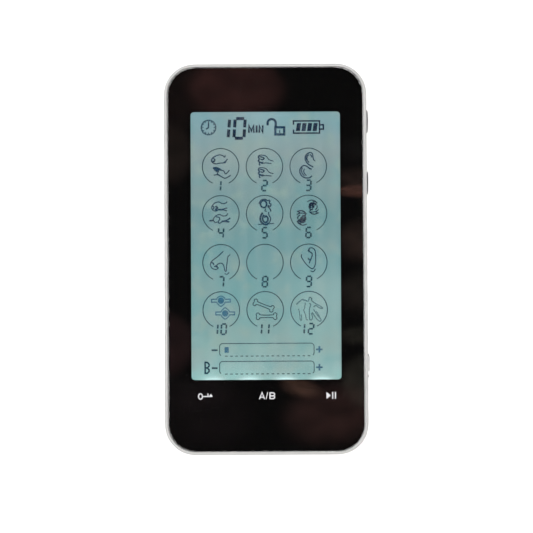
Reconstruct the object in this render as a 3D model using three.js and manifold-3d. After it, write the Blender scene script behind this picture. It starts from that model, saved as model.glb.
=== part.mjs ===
// A pocket nerve and muscle stimulator (TENS unit) with a touch screen, as an assembly of its real pieces.
// Millimetres. The unit lies on its back: +Z comes out of the screen, +Y points to the top of the screen,
// and the origin is the middle of the flat rear face.
import * as THREE from "three";
import { mergeVertices } from "three/addons/utils/BufferGeometryUtils.js";
import Module from "manifold-3d";

const wasm = await Module();
wasm.setup();

// ---------------------------------------------------------------- driving dimensions

// Clearances: a hair between layers that lie flat on each other, and a fit between nested walls.
const hair = 0.02;
const fit = 0.1;

// The case: a front frame and a rear cover that meet on one plane, through the middle of every socket.
const body = { width: 59.7, length: 115, height: 12.6, corner: 9, wall: 1.3, rearEdge: 2.4, frontEdge: 0.9 };
const partingHeight = 4.6;
const lip = { thickness: 0.55, height: 0.9 };

// The cover lens, and the part of the display that shows through it.
const lens = { width: 57.4, length: 113, corner: 7.9, thickness: 1.1, bevel: 0.25 };
const sight = { width: 44, length: 78.8, corner: 1, y: 3.9 };

// Thickness of each layer under the lens, from the front to the back.
const layer = {
  mask: 0.08,
  sensor: 0.2,
  tape: 0.15,
  gasket: 0.2,
  polariser: 0.2,
  glass: 0.8,
  lightGuide: 1.6,
  reflector: 0.2,
  deck: 1,
};

// The display glass and the tray that holds it. The front glass has a ledge for its contacts.
const display = { width: 48, bottom: -38.5, top: 46.1, ledge: 2.8 };
const film = { width: 46, length: 82 };
const tray = { bottom: -42.2, top: 50, wall: 0.8, play: 0.2 };
const lamps = { places: [-15, 13], width: 3.4, depth: 1.8, y: -39.5 };
const zebra = { width: 44, bottom: 46.9, top: 48.7 };

// The touch panel's tail and what it plugs into.
const tail = { x: -12, width: 10, bend: -50.5, slotBottom: -51.6, slotTop: -48.6, plugY: -45.7 };
const touchController = { x: 8, y: -45.6, size: 5, height: 0.9 };

// The circuit board, and what hangs under it.
const board = { width: 56, length: 98, top: 6.5, thickness: 1, tongueWidth: 36, tongueEnd: -55.9 };
const flatPacks = {
  microcontroller: { x: -15.5, y: 40, width: 10, length: 10, height: 1.4 },
  channel_a_driver: { x: 20.5, y: 33.6, width: 3.9, length: 4.9, height: 1.6 },
  channel_b_driver: { x: 20.5, y: 14.4, width: 3.9, length: 4.9, height: 1.6 },
  charge_controller: { x: 20.5, y: -13, width: 3.9, length: 4.9, height: 1.6 },
};
const crystal = { x: -16, y: 30.4, width: 10.6, length: 4.4, height: 3.3 };
const inductor = { x: 8.5, y: 43.4, size: 6.6, height: 3.1 };
const capacitor = { x: 5, y: 35.2, radius: 1.95, length: 8 };
const buzzer = { x: 20.5, y: 2, radius: 4.5, height: 2.5, hole: 0.7 };

// The battery, its lead and its plug.
const battery = { x: -4, y: -2.5, width: 36, length: 53, thickness: 3.5, tape: 0.25 };
const protection = { width: 28, length: 3, low: 2.6, high: 3.6 };
const lead = { radius: 0.45, start: 0.7, end: -1.9, length: 4.35, spacing: 1.6, height: 3.2 };
const plug = { left: -4.2, right: 1.6, length: 2.45, low: 2.3, high: 4.4 };
const header = { left: -5, right: 2.4, length: 4.35, low: 2 };

// What stands in the side wall: two output sockets and the power switch.
const jacks = { jack_a: 41, jack_b: 22.7 };
const switchY = -31.7;
const collar = { length: 6.9, height: 4.9, proud: 0.65 };
const flange = { length: 8.4, height: 5.8, thickness: 0.65 };
const jack = { bore: 1.3, plugRadius: 1.25, sleeve: 2.2, depth: 12.6, length: 6, height: 4 };
const knob = { travel: 1.3, length: 4.4, proud: 0.85, stem: 2.2, stemHeight: 1.8 };
const can = { front: -3.6, back: -8.2, length: 8.6, low: -2, high: 0.85, sheet: 0.3 };

// The charging socket in the bottom edge.
const usb = { width: 7.7, height: 3.9, sheet: 0.35, pinch: 0.9, front: 0.15, back: 9 };

// Screws. Case screws come in from the back, board screws from under the board.
const caseScrew = { x: 24.1, y: 52.5, radius: 1, head: 1.9, top: 8.6, recess: 0.5 };
const boardScrew = { places: [[26.6, 31.85], [-26.6, 31.85], [-26.6, -20]], radius: 0.7, head: 1.4, top: 9 };

// A blank rating label in a shallow recess on the back.
const label = { x: 0, y: -27, width: 34, length: 26, corner: 1.5, recess: 0.2 };

// ---------------------------------------------------------------- levels and edges that follow

const lensBottom = body.height - lens.thickness;
const maskTop = lensBottom - hair;
const sensorTop = maskTop - layer.mask;
const tapeTop = sensorTop - layer.sensor;
const deckTop = tapeTop - layer.tape;
const deckBottom = deckTop - layer.deck;
const polariserTop = tapeTop - layer.gasket;
const frontGlassTop = polariserTop - layer.polariser;
const rearGlassTop = frontGlassTop - layer.glass;
const rearPolariserTop = rearGlassTop - layer.glass;
const lightGuideTop = rearPolariserTop - layer.polariser;
const reflectorTop = lightGuideTop - layer.lightGuide;
const trayFloorTop = reflectorTop - layer.reflector;
const boardBottom = board.top - board.thickness;
const rimTop = body.height - fit;
const sideX = body.width / 2;
const endY = -body.length / 2;
const flangeBack = -body.wall - fit - flange.thickness;
const batteryBottom = body.wall + battery.tape;
const batteryEnd = battery.y + battery.length / 2;
const trayMiddle = (tray.top + tray.bottom) / 2;
const trayLength = tray.top - tray.bottom;
const trayWidth = display.width + 2 * (tray.wall + tray.play);
const inside = {
  width: body.width - 2 * body.wall,
  length: body.length - 2 * body.wall,
  corner: body.corner - body.wall,
};

// Longer than anything that is cut.
const far = 100;

// ---------------------------------------------------------------- materials

const paint = (color, roughness = 0.5, metalness = 0) =>
  new THREE.MeshStandardMaterial({ color, roughness, metalness });

const materials = {
  case: paint(0xd6d5d2, 0.32),
  lens: paint(0x101010, 0.05),
  mask: paint(0x0b0a0a, 0.4),
  sensor: paint(0x9fb3b0, 0.2),
  foam: paint(0x1c1c1c, 0.95),
  flex: paint(0xb5651d, 0.5),
  displayGlass: paint(0x8fb5b3, 0.1),
  polariser: paint(0x86a8a8, 0.25),
  lightGuide: paint(0xeaf4f2, 0.15),
  whitePlastic: paint(0xf0f0ec, 0.5),
  elastomer: paint(0x8c3b4a, 0.8),
  board: paint(0x0f5132, 0.45),
  chip: paint(0x1b1b1d, 0.55),
  steel: paint(0xb9bbbd, 0.28, 1),
  brass: paint(0xc9a24b, 0.3, 1),
  aluminium: paint(0xc4c7c9, 0.35, 1),
  ferrite: paint(0x34363a, 0.6),
  pouch: paint(0xb8bcc0, 0.3, 0.8),
  redLead: paint(0xb3261e, 0.5),
  blackLead: paint(0x141414, 0.5),
  blackPlastic: paint(0x121314, 0.25),
  knob: paint(0xdcdcda, 0.3),
  label: paint(0xc9cbcb, 0.45),
};

// ---------------------------------------------------------------- solids

/** A closed geometry as a manifold-3d solid. */
function solid(geometry) {
  const bare = geometry.index ? geometry.toNonIndexed() : geometry.clone();
  bare.deleteAttribute("normal");
  bare.deleteAttribute("uv");
  const merged = mergeVertices(bare, 1e-4);
  const vertProperties = new Float32Array(merged.attributes.position.array);
  const triVerts = new Uint32Array(merged.index.array);
  return new wasm.Manifold(new wasm.Mesh({ numProp: 3, vertProperties, triVerts }));
}

/** A manifold-3d solid as a three.js geometry. */
function geometryOf(made) {
  const mesh = made.getMesh();
  const geometry = new THREE.BufferGeometry();
  geometry.setAttribute("position", new THREE.BufferAttribute(mesh.vertProperties, 3));
  geometry.setIndex(new THREE.BufferAttribute(mesh.triVerts, 1));
  geometry.computeVertexNormals();
  return geometry;
}

/** A rectangle with round corners, centred on the origin. */
function roundedRectangle(width, length, radius) {
  const x = width / 2;
  const y = length / 2;
  const r = Math.min(radius, x - 1e-3, y - 1e-3);
  const shape = new THREE.Shape();
  shape.moveTo(-x + r, -y);
  shape.lineTo(x - r, -y);
  shape.absarc(x - r, -y + r, r, -Math.PI / 2, 0);
  shape.lineTo(x, y - r);
  shape.absarc(x - r, y - r, r, 0, Math.PI / 2);
  shape.lineTo(-x + r, y);
  shape.absarc(-x + r, y - r, r, Math.PI / 2, Math.PI);
  shape.lineTo(-x, -y + r);
  shape.absarc(-x + r, -y + r, r, Math.PI, 1.5 * Math.PI);
  return shape;
}

/** A plate with round corners, from height low to height high. */
function plate(width, length, radius, low, high, { x = 0, y = 0, arc = 3 } = {}) {
  const geometry = new THREE.ExtrudeGeometry(roundedRectangle(width, length, radius), {
    depth: high - low,
    bevelEnabled: false,
    curveSegments: arc,
  });
  return solid(geometry.translate(x, y, low));
}

/** A plate whose upper and lower edges are rounded too. */
function softPlate(width, length, radius, low, high, edge, { x = 0, y = 0, arc = 3, steps = 2 } = {}) {
  const geometry = new THREE.ExtrudeGeometry(roundedRectangle(width, length, radius), {
    depth: high - low - 2 * edge,
    bevelEnabled: true,
    bevelThickness: edge,
    bevelSize: edge,
    bevelOffset: -edge,
    bevelSegments: steps,
    curveSegments: arc,
  });
  return solid(geometry.translate(x, y, low + edge));
}

/** A rectangular block between two corners. */
function block([x0, y0, z0], [x1, y1, z1]) {
  const geometry = new THREE.BoxGeometry(x1 - x0, y1 - y0, z1 - z0);
  return solid(geometry.translate((x0 + x1) / 2, (y0 + y1) / 2, (z0 + z1) / 2));
}

/** A block given by its middle on the plan, its plan size, and its lowest and highest levels. */
function pad(x, y, width, length, low, high) {
  return block([x - width / 2, y - length / 2, low], [x + width / 2, y + length / 2, high]);
}

/** An upright cylinder. */
function post(x, y, radius, low, high, sides = 16) {
  const geometry = new THREE.CylinderGeometry(radius, radius, high - low, sides);
  return solid(geometry.rotateX(Math.PI / 2).translate(x, y, (low + high) / 2));
}

/** A cylinder along X, on the line y = 0, z = 0. */
function rodAlongX(radius, x0, x1) {
  const geometry = new THREE.CylinderGeometry(radius, radius, x1 - x0, 16);
  return solid(geometry.rotateZ(Math.PI / 2).translate((x0 + x1) / 2, 0, 0));
}

/** A profile of [radius, x] points turned about the X axis. */
function turnedAboutX(profile) {
  const points = profile.map(([radius, x]) => new THREE.Vector2(radius, x));
  return solid(new THREE.LatheGeometry(points, 16).rotateZ(-Math.PI / 2));
}

/** A shape drawn in the Y-Z plane and pushed along X from x0 to x1. */
function pushedAlongX(shape, x0, x1) {
  const geometry = new THREE.ExtrudeGeometry(shape, {
    depth: x1 - x0,
    bevelEnabled: false,
    curveSegments: 2,
  });
  geometry.rotateX(Math.PI / 2).rotateZ(Math.PI / 2);
  return solid(geometry.translate(x0, 0, 0));
}

/** A slot shape with half-round ends, length along Y and height along Z. */
const slotAlongX = (length, height, x0, x1) =>
  pushedAlongX(roundedRectangle(length, height, height / 2), x0, x1);

/** The outline of a strip of sheet that follows a line of points. */
function ribbon(points, thickness) {
  const line = points.map(([a, b]) => new THREE.Vector2(a, b));
  const sides = [1, -1].map((side) =>
    line.map((point, i) => {
      const before = line[Math.max(i - 1, 0)];
      const after = line[Math.min(i + 1, line.length - 1)];
      const along = after.clone().sub(before).normalize();
      return point.clone().add(new THREE.Vector2(-along.y, along.x).multiplyScalar((side * thickness) / 2));
    }),
  );
  return new THREE.Shape([...sides[0], ...sides[1].reverse()]);
}

/** A cross recess for a driver, from below up to a level. */
function crossRecess(reach, top) {
  const blade = reach / 4;
  return pad(0, 0, reach, blade, -1, top).add(pad(0, 0, blade, reach, -1, top));
}

// ---------------------------------------------------------------- the scene graph

const unit = new THREE.Group();

/** Adds one named piece to a group. */
function piece(name, made, material, parent = unit) {
  const mesh = new THREE.Mesh(geometryOf(made), materials[material]);
  mesh.name = name;
  parent.add(mesh);
  return mesh;
}

/** A group whose origin is on the right face, level with the sockets. */
function sideGroup(y) {
  const group = new THREE.Group();
  group.position.set(sideX, y, partingHeight);
  unit.add(group);
  return group;
}

/** Calls make for each corner of the case, with the place of its screw. */
function atCorners(make) {
  const corners = [[-1, 1], [1, 1], [-1, -1], [1, -1]];
  corners.forEach(([sx, sy], i) => make(sx * caseScrew.x, sy * caseScrew.y, i + 1));
}

// ---------------------------------------------------------------- case

/** What the inserts and the charging socket take out of the side walls. */
function socketOpenings() {
  const usbX = usb.width / 2 + fit;
  const usbZ = usb.height / 2 + fit;
  let cut = block(
    [-usbX, endY - 1, partingHeight - usbZ],
    [usbX, endY + body.wall + 1, partingHeight + usbZ],
  );
  for (const y of [...Object.values(jacks), switchY]) {
    const slot = slotAlongX(collar.length + fit, collar.height + fit, -body.wall - 1, 1);
    cut = cut.add(slot.translate([sideX, y, partingHeight]));
  }
  return cut;
}

/** The hole in the deck that the display's tray stands in. */
const trayOpening = () =>
  plate(trayWidth + 0.6, trayLength + 0.6, 0.8, 0, far, { y: trayMiddle, arc: 2 });

/** The slot in the deck that the touch panel's tail goes down through. */
function tailSlot(top) {
  const half = tail.width / 2 + 0.6;
  return block([tail.x - half, tail.slotBottom, 0], [tail.x + half, top, far]);
}

/** The ring that shows round the lens, with the deck that the lens and the display are mounted on. */
function frontFrame() {
  const depth = body.wall - lip.thickness - fit / 2;
  const lensPocket = plate(lens.width + 2 * fit, lens.length + 2 * fit, lens.corner + fit, deckTop, far);
  const cavity = plate(inside.width, inside.length, inside.corner, -far, deckBottom);
  const rebateTop = partingHeight + lip.height + fit;
  const rebate = plate(body.width - 2 * depth, body.length - 2 * depth, body.corner - depth, 0, rebateTop);
  let frame = softPlate(body.width, body.length, body.corner, -far, rimTop, body.frontEdge)
    .subtract(block([-far, -far, -2 * far], [far, far, partingHeight]))
    .subtract(lensPocket)
    .subtract(cavity)
    .subtract(rebate)
    .subtract(trayOpening());
  atCorners((x, y) => {
    frame = frame.add(post(x, y, 2.3, partingHeight + fit, deckBottom + fit));
    frame = frame.subtract(post(x, y, caseScrew.radius + 0.05, 0, deckBottom - 0.5));
  });
  for (const [x, y] of boardScrew.places) {
    frame = frame.add(post(x, y, 1.35, board.top + fit, deckBottom + fit, 12));
    frame = frame.subtract(post(x, y, boardScrew.radius + 0.05, 0, deckBottom - 0.7, 12));
  }
  return frame.subtract(tailSlot(tail.slotTop)).subtract(socketOpenings());
}

/** The ribs on the rear cover's floor that keep the battery in its place. */
function batteryFence() {
  const rib = { width: 0.9, low: body.wall - fit, high: 3.2 };
  const left = battery.x - battery.width / 2 - 0.3;
  const right = battery.x + battery.width / 2 + 0.3;
  const bottom = battery.y - battery.length / 2 - 0.3;
  const reach = battery.length / 2 - 6;
  return block([left - rib.width, battery.y - reach, rib.low], [left, battery.y + reach, rib.high])
    .add(block([right, battery.y - reach, rib.low], [right + rib.width, battery.y + reach, rib.high]))
    .add(block([left + 4, bottom - rib.width, rib.low], [right - 4, bottom, rib.high]));
}

/** The tray that closes the back, with a lip inside the frame, screw posts and a fence for the battery. */
function rearCover() {
  const inset = body.wall - lip.thickness + fit;
  const rim = plate(
    body.width - 2 * inset,
    body.length - 2 * inset,
    body.corner - inset,
    2 * body.wall,
    partingHeight + lip.height,
  );
  const hollow = softPlate(inside.width, inside.length, inside.corner, body.wall, far, 0.3, { steps: 1 });
  let cover = softPlate(body.width, body.length, body.corner, 0, far, body.rearEdge, { steps: 3 })
    .subtract(block([-far, -far, partingHeight - hair], [far, far, 2 * far]))
    .add(rim)
    .subtract(hollow)
    .add(batteryFence());
  atCorners((x, y) => {
    cover = cover
      .add(post(x, y, 2.9, body.wall - fit, partingHeight - hair))
      .subtract(post(x, y, caseScrew.head + 0.2, -1, 1.9))
      .subtract(post(x, y, caseScrew.radius + 0.15, 0, far));
  });
  const { x, y } = label;
  const recess = plate(label.width + 0.6, label.length + 0.6, label.corner + 0.3, -1, label.recess, { x, y });
  return cover.subtract(recess).subtract(socketOpenings());
}

/** A pan-head screw for the case, standing on its head. */
function makeCaseScrew() {
  const head = post(0, 0, caseScrew.head, caseScrew.recess, 1.8);
  const shank = post(0, 0, caseScrew.radius, 1.7, caseScrew.top, 12);
  return head.add(shank).subtract(crossRecess(2.1, 1.1));
}

/** A small screw that holds the board to the frame. */
function makeBoardScrew() {
  const head = post(0, 0, boardScrew.head, boardBottom - 0.9, boardBottom - hair, 12);
  const shank = post(0, 0, boardScrew.radius, boardBottom - fit, boardScrew.top, 8);
  return head.add(shank).subtract(crossRecess(1.6, boardBottom - 0.4));
}

function addCase() {
  piece("front_frame", frontFrame(), "case");
  piece("rear_cover", rearCover(), "case");
  const { x, y } = label;
  piece("rating_label", plate(label.width, label.length, label.corner, 0.04, 0.18, { x, y }), "label");
  atCorners((sx, sy, i) => piece(`case_screw_${i}`, makeCaseScrew(), "steel").position.set(sx, sy, 0));
  boardScrew.places.forEach(([sx, sy], i) => {
    piece(`board_screw_${i + 1}`, makeBoardScrew(), "steel").position.set(sx, sy, 0);
  });
}

// ---------------------------------------------------------------- lens and touch panel

/** The tail of the touch panel, bent from under the sensor through the deck and down to its connector. */
function touchTail() {
  const start = tapeTop - layer.tape / 2;
  const end = board.top + 0.65;
  const line = [
    [tail.bend + 5.5, start],
    [tail.bend + 1.3, start],
    [tail.bend + 0.4, start - 0.25],
    [tail.bend, start - 1],
    [tail.bend, end + 1.45],
    [tail.bend + 0.3, end + 0.65],
    [tail.bend + 1.1, end + 0.15],
    [tail.bend + 2.4, end],
  ];
  return pushedAlongX(ribbon(line, 0.1), tail.x - tail.width / 2, tail.x + tail.width / 2);
}

/** A sheet with the lens's outline, smaller by inset all round. */
const lensSheet = (inset, low, high) =>
  plate(lens.width - 2 * inset, lens.length - 2 * inset, lens.corner - inset, low, high);

function addTouchPanel() {
  const { width, length, corner, bevel } = lens;
  piece("touch_lens", softPlate(width, length, corner, lensBottom, body.height, bevel, { steps: 1 }), "lens");
  const clear = plate(sight.width, sight.length, sight.corner, 0, far, { y: sight.y });
  piece("mask_film", lensSheet(0.2, sensorTop, maskTop).subtract(clear), "mask");
  piece("touch_sensor", lensSheet(0.9, tapeTop, sensorTop - hair / 2), "sensor");
  const ring = lensSheet(0.4, deckTop + hair / 2, tapeTop - hair / 2);
  piece("lens_tape", ring.subtract(trayOpening()).subtract(tailSlot(tray.bottom)), "foam");
  piece("touch_flex", touchTail(), "flex");
  const connector = pad(tail.x, tail.plugY, tail.width + 2, 4.4, board.top, board.top + 1.3);
  piece("flex_connector", connector, "whitePlastic");
  const { x, y, size, height } = touchController;
  piece("touch_controller", pad(x, y, size, size, board.top, board.top + height), "chip");
}

// ---------------------------------------------------------------- display

/** One rectangular layer of the display's full width, between two levels. */
const displayLayer = (bottom, top, low, high) =>
  block([-display.width / 2, bottom, low], [display.width / 2, top, high]);

/** The white tray that squares up the glass, the light guide and the lamps. */
function displayTray() {
  const at = { y: trayMiddle, arc: 2 };
  const reach = 2 * tray.wall;
  const opening = { width: 38, length: 70, y: 2 };
  return plate(trayWidth, trayLength, 0.6, board.top + fit, polariserTop - fit, at)
    .subtract(plate(trayWidth - reach, trayLength - reach, 0.3, trayFloorTop, far, at))
    .subtract(plate(opening.width, opening.length, 2, 0, far, { y: opening.y, arc: 2 }))
    .subtract(pad(0, (zebra.bottom + zebra.top) / 2, zebra.width + 1, 2.4, 0, far));
}

/** A strip of foam round the visible part of the display. */
function displayGasket() {
  const [low, high] = [polariserTop + hair / 2, tapeTop - hair / 2];
  const outside = plate(film.width + 1.4, film.length + 1.2, 1, low, high, { y: sight.y, arc: 2 });
  return outside.subtract(plate(sight.width + 1, sight.length + 1, 1, 0, far, { y: sight.y, arc: 2 }));
}

/** A polarising film, from one level up to another. */
const polariser = (low, high) => plate(film.width, film.length, 0.5, low, high, { y: sight.y, arc: 2 });

function addDisplay() {
  const { bottom, top, ledge } = display;
  const guideBottom = bottom + 0.2;
  const guideTop = top - 0.2;
  piece("lcd_gasket", displayGasket(), "foam");
  piece("lcd_front_polariser", polariser(frontGlassTop, polariserTop), "polariser");
  piece("lcd_front_glass", displayLayer(bottom, top + ledge, rearGlassTop, frontGlassTop), "displayGlass");
  piece("lcd_rear_glass", displayLayer(bottom, top, rearPolariserTop, rearGlassTop), "displayGlass");
  piece("lcd_rear_polariser", polariser(lightGuideTop, rearPolariserTop), "polariser");
  piece("light_guide", displayLayer(guideBottom, guideTop, reflectorTop, lightGuideTop), "lightGuide");
  piece("reflector_sheet", displayLayer(guideBottom, guideTop, trayFloorTop, reflectorTop), "whitePlastic");
  const half = zebra.width / 2;
  const strip = block([-half, zebra.bottom, board.top], [half, zebra.top, rearGlassTop - hair]);
  piece("lcd_zebra_strip", strip, "elastomer");
  piece("led_strip", pad(0, lamps.y - 1.3, 42, 0.6, trayFloorTop, lightGuideTop), "board");
  lamps.places.forEach((x, i) => {
    const lamp = pad(x, lamps.y, lamps.width, lamps.depth, trayFloorTop + fit, lightGuideTop - fit);
    piece(`backlight_led_${i + 1}`, lamp, "whitePlastic");
  });
  piece("lcd_holder", displayTray(), "whitePlastic");
}

// ---------------------------------------------------------------- board

/** The main board, cut away round the sockets and the switch that sit in its thickness. */
function mainBoard() {
  const across = board.tongueWidth / 2;
  const tongue = block([-across, board.tongueEnd, boardBottom], [across, -board.length / 2 + 4, board.top]);
  const usbHalf = usb.width / 2 + 0.3;
  const notch = (y, depth, half) => block([sideX - depth, y - half, 0], [far, y + half, far]);
  const flangeHalf = flange.length / 2 + 0.3;
  let made = plate(board.width, board.length, 1.5, boardBottom, board.top)
    .add(tongue)
    .subtract(block([-usbHalf, -far, 0], [usbHalf, endY + usb.back + 0.3, far]))
    .subtract(notch(switchY, 3.3, flangeHalf + 0.3));
  for (const y of Object.values(jacks)) {
    made = made
      .subtract(notch(y, jack.depth + 0.3, jack.length / 2 + 0.3))
      .subtract(notch(y, -flangeBack + 0.25, flangeHalf));
  }
  for (const [x, y] of boardScrew.places) {
    made = made.subtract(post(x, y, boardScrew.radius + 0.15, 0, far, 12));
  }
  return made;
}

/** A flat-pack chip with its rows of leads, hanging under the board. */
function flatPack({ x, y, width, length, height }) {
  const shell = pad(x, y, width, length, boardBottom - height, boardBottom - fit);
  const leads = pad(x, y, width + 2, length * 0.86, boardBottom - 0.25, boardBottom - 0.05);
  return shell.add(leads);
}

/** A capacitor can on its side, with the groove near its sealed end. */
function capacitorCan() {
  const { radius, length } = capacitor;
  return turnedAboutX([
    [0, 0],
    [radius, 0],
    [radius, 1],
    [radius - 0.25, 1.3],
    [radius, 1.6],
    [radius, length],
    [0, length],
  ]);
}

function addBoard() {
  piece("main_board", mainBoard(), "board");
  for (const [name, pack] of Object.entries(flatPacks)) {
    piece(name, flatPack(pack), "chip");
  }
  const crystalCan = softPlate(
    crystal.width,
    crystal.length,
    crystal.length / 2 - 0.3,
    boardBottom - crystal.height,
    boardBottom - 0.05,
    0.4,
    { x: crystal.x, y: crystal.y, steps: 1 },
  );
  piece("crystal", crystalCan, "steel");
  const { x, y, size, height } = inductor;
  const shield = softPlate(size, size, 1.4, boardBottom - height, boardBottom, 0.3, { x, y, steps: 1 });
  piece("boost_inductor", shield, "ferrite");
  const underBoard = boardBottom - capacitor.radius - 0.05;
  piece("output_capacitor", capacitorCan(), "aluminium").position.set(capacitor.x, capacitor.y, underBoard);
  const buzzerLow = boardBottom - buzzer.height;
  const sounder = post(buzzer.x, buzzer.y, buzzer.radius, buzzerLow, boardBottom, 24);
  const soundHole = post(buzzer.x, buzzer.y, buzzer.hole, 0, buzzerLow + 0.8, 12);
  piece("buzzer", sounder.subtract(soundHole), "blackPlastic");
}

// ---------------------------------------------------------------- battery

/** One insulated lead from the protection board to the plug, moved over in X by shift. */
function batteryLead(shift) {
  const start = batteryEnd + protection.length + 0.35;
  const steps = 5;
  const points = [...Array(steps + 1).keys()].map((i) => {
    const t = i / steps;
    const x = THREE.MathUtils.lerp(lead.start, lead.end, THREE.MathUtils.smoothstep(t, 0, 1));
    return new THREE.Vector3(x + shift, start + t * lead.length, lead.height);
  });
  const section = new THREE.Shape();
  section.absarc(0, 0, lead.radius, 0, 2 * Math.PI);
  const geometry = new THREE.ExtrudeGeometry(section, {
    steps: 12,
    bevelEnabled: false,
    curveSegments: 4,
    extrudePath: new THREE.CatmullRomCurve3(points),
  });
  return solid(geometry);
}

function addBattery() {
  const { x, y } = battery;
  const cell = softPlate(
    battery.width,
    battery.length,
    2,
    batteryBottom,
    batteryBottom + battery.thickness,
    0.9,
    { x, y, arc: 2 },
  );
  piece("battery_cell", cell, "pouch");
  const [low, high] = [body.wall + hair, batteryBottom - hair];
  piece("battery_tape", plate(battery.width - 8, battery.length - 9, 1, low, high, { x, y }), "foam");
  const boardY = batteryEnd + 0.3 + protection.length / 2;
  const guard = pad(x, boardY, protection.width, protection.length, protection.low, protection.high);
  piece("battery_protection_board", guard, "board");
  piece("battery_lead_red", batteryLead(0), "redLead");
  piece("battery_lead_black", batteryLead(lead.spacing), "blackLead");
  const plugStart = batteryEnd + protection.length + lead.length + 0.4;
  const plugEnd = plugStart + plug.length;
  const crimps = block([plug.left, plugStart, plug.low], [plug.right, plugEnd, plug.high]);
  piece("battery_plug", crimps, "whitePlastic");
  const headerStart = plugEnd + 0.05;
  const headerEnd = headerStart + header.length;
  const base = block([header.left, headerStart, header.low], [header.right, headerEnd, boardBottom]);
  piece("battery_header", base, "whitePlastic");
}

// ---------------------------------------------------------------- output sockets

/** A black insert for the side wall: a collar that stands proud, and a flange that holds it from inside. */
function wallInsert(opening) {
  const outside = slotAlongX(collar.length, collar.height, flangeBack, collar.proud);
  const inner = slotAlongX(flange.length, flange.height, flangeBack, -body.wall - fit);
  return outside.add(inner).subtract(opening);
}

/** The plated sleeve that takes the plug, with a flared mouth. */
function jackSleeve() {
  const { bore, sleeve } = jack;
  const spigot = sleeve - 0.45;
  return turnedAboutX([
    [bore, -3.7],
    [spigot, -3.7],
    [spigot, -2.45],
    [sleeve, -2.45],
    [sleeve, -0.2],
    [sleeve - 0.2, 0],
    [bore + 0.25, 0],
    [bore, -0.25],
    [bore, -3.7],
  ]);
}

/** The moulded block behind the sleeve, with the plug's bore and a pocket for the tip contact. */
function jackBlock() {
  const front = -2.5;
  const y = jack.length / 2;
  const z = jack.height / 2;
  return block([-jack.depth, -y, -z], [front, y, z])
    .subtract(rodAlongX(jack.sleeve - 0.3, -3.8, front + 1))
    .subtract(rodAlongX(jack.bore + 0.12, -jack.depth + 0.9, front))
    .subtract(block([-jack.depth + 0.7, 0.85, -z - 1], [-4.4, 2.6, 1.1]));
}

/** The leaf that presses on the plug's tip: its bend stands inside the plug's radius until a plug comes. */
function tipSpring() {
  const bend = jack.plugRadius - 0.2;
  const line = [
    [-4.55, 1.95],
    [-5.6, 1.95],
    [-9.6, bend + 0.15],
    [-10.1, bend + 0.1],
    [-10.6, bend + 0.15],
    [-11.3, 1.65],
  ];
  const width = 1.6;
  const geometry = new THREE.ExtrudeGeometry(ribbon(line, 0.2), { depth: width, bevelEnabled: false });
  return solid(geometry.translate(0, 0, -width / 2));
}

function addOutputSocket(name, y) {
  const group = sideGroup(y);
  const opening = rodAlongX(jack.sleeve + 0.15, flangeBack - 1, 1);
  piece(`${name}_insert`, wallInsert(opening), "blackPlastic", group);
  piece(`${name}_bushing`, jackSleeve(), "steel", group);
  piece(`${name}_housing`, jackBlock(), "blackPlastic", group);
  piece(`${name}_tip_spring`, tipSpring(), "brass", group);
}

// ---------------------------------------------------------------- power switch

/** The switch's insert: between its two raised ends, the collar is cut back for the knob to slide across. */
function switchInsert() {
  const track = (knob.length + knob.travel + fit) / 2;
  const slot = (knob.stem + knob.travel + fit) / 2;
  const slotHeight = knob.stemHeight / 2 + fit;
  return wallInsert(block([flangeBack - 1, -slot, -slotHeight], [1, slot, slotHeight])).subtract(
    block([0.05, -track, -far], [1, track, far]),
  );
}

/** The knob: a ribbed cap outside the case, on a hollow stem that is pushed on to the switch's slider. */
function powerKnob() {
  const y = knob.stem / 2;
  const z = knob.stemHeight / 2;
  const groove = { width: 0.24, depth: 0.12, pitch: 0.6 };
  let made = pushedAlongX(roundedRectangle(knob.length, collar.height, 1), 0.12, knob.proud)
    .add(block([-2.6, -y, -z], [0.3, y, z]))
    .subtract(block([-far, -0.75, -0.6], [-1.2, 0.75, 0.6]));
  for (let i = -2; i <= 2; i++) {
    const middle = i * groove.pitch;
    const half = groove.width / 2;
    made = made.subtract(block([knob.proud - groove.depth, middle - half, -far], [1, middle + half, far]));
  }
  return made;
}

/** The slider of the switch itself, with the stem that the knob sits on. */
function switchSlider() {
  const back = can.back + 0.8;
  const front = can.front - 0.8;
  const stem = block([front - fit, -0.65, -0.5], [-1.3, 0.65, 0.5]);
  return block([back, -1.7, -1.6], [front, 1.7, 0.2]).add(stem);
}

/** The folded metal can of the switch, open towards the board and slotted for the stem. */
function switchCan() {
  const { front, back, low, high, sheet } = can;
  const half = can.length / 2;
  return block([back, -half, low], [front, half, high])
    .subtract(block([back + sheet, -half + sheet, low + sheet], [front - sheet, half - sheet, far]))
    .subtract(block([front - 1, -1.9, -0.8], [far, 1.9, far]));
}

function addPowerSwitch() {
  const group = sideGroup(switchY);
  piece("switch_insert", switchInsert(), "blackPlastic", group);
  piece("switch_can", switchCan(), "steel", group);
  const half = can.length / 2 - 0.4;
  const base = block([can.back + 0.4, -half, 0.3], [can.front - 1, half, can.high]);
  piece("switch_base", base, "blackPlastic", group);
  const sliding = new THREE.Group();
  sliding.position.y = knob.travel / 2;
  group.add(sliding);
  piece("power_knob", powerKnob(), "knob", sliding);
  piece("switch_actuator", switchSlider(), "blackPlastic", sliding);
}

// ---------------------------------------------------------------- charging socket

/** The section of a mini USB socket, smaller all round by inset: wide above and pinched below. */
function usbSection(inset) {
  const x = usb.width / 2 - inset;
  const z = usb.height / 2 - inset;
  const shoulder = -0.3;
  const corners = [[-x, z], [-x, shoulder], [-x + usb.pinch, -z], [x - usb.pinch, -z], [x, shoulder], [x, z]];
  return new THREE.Shape(corners.map(([a, b]) => new THREE.Vector2(a, b)));
}

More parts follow.
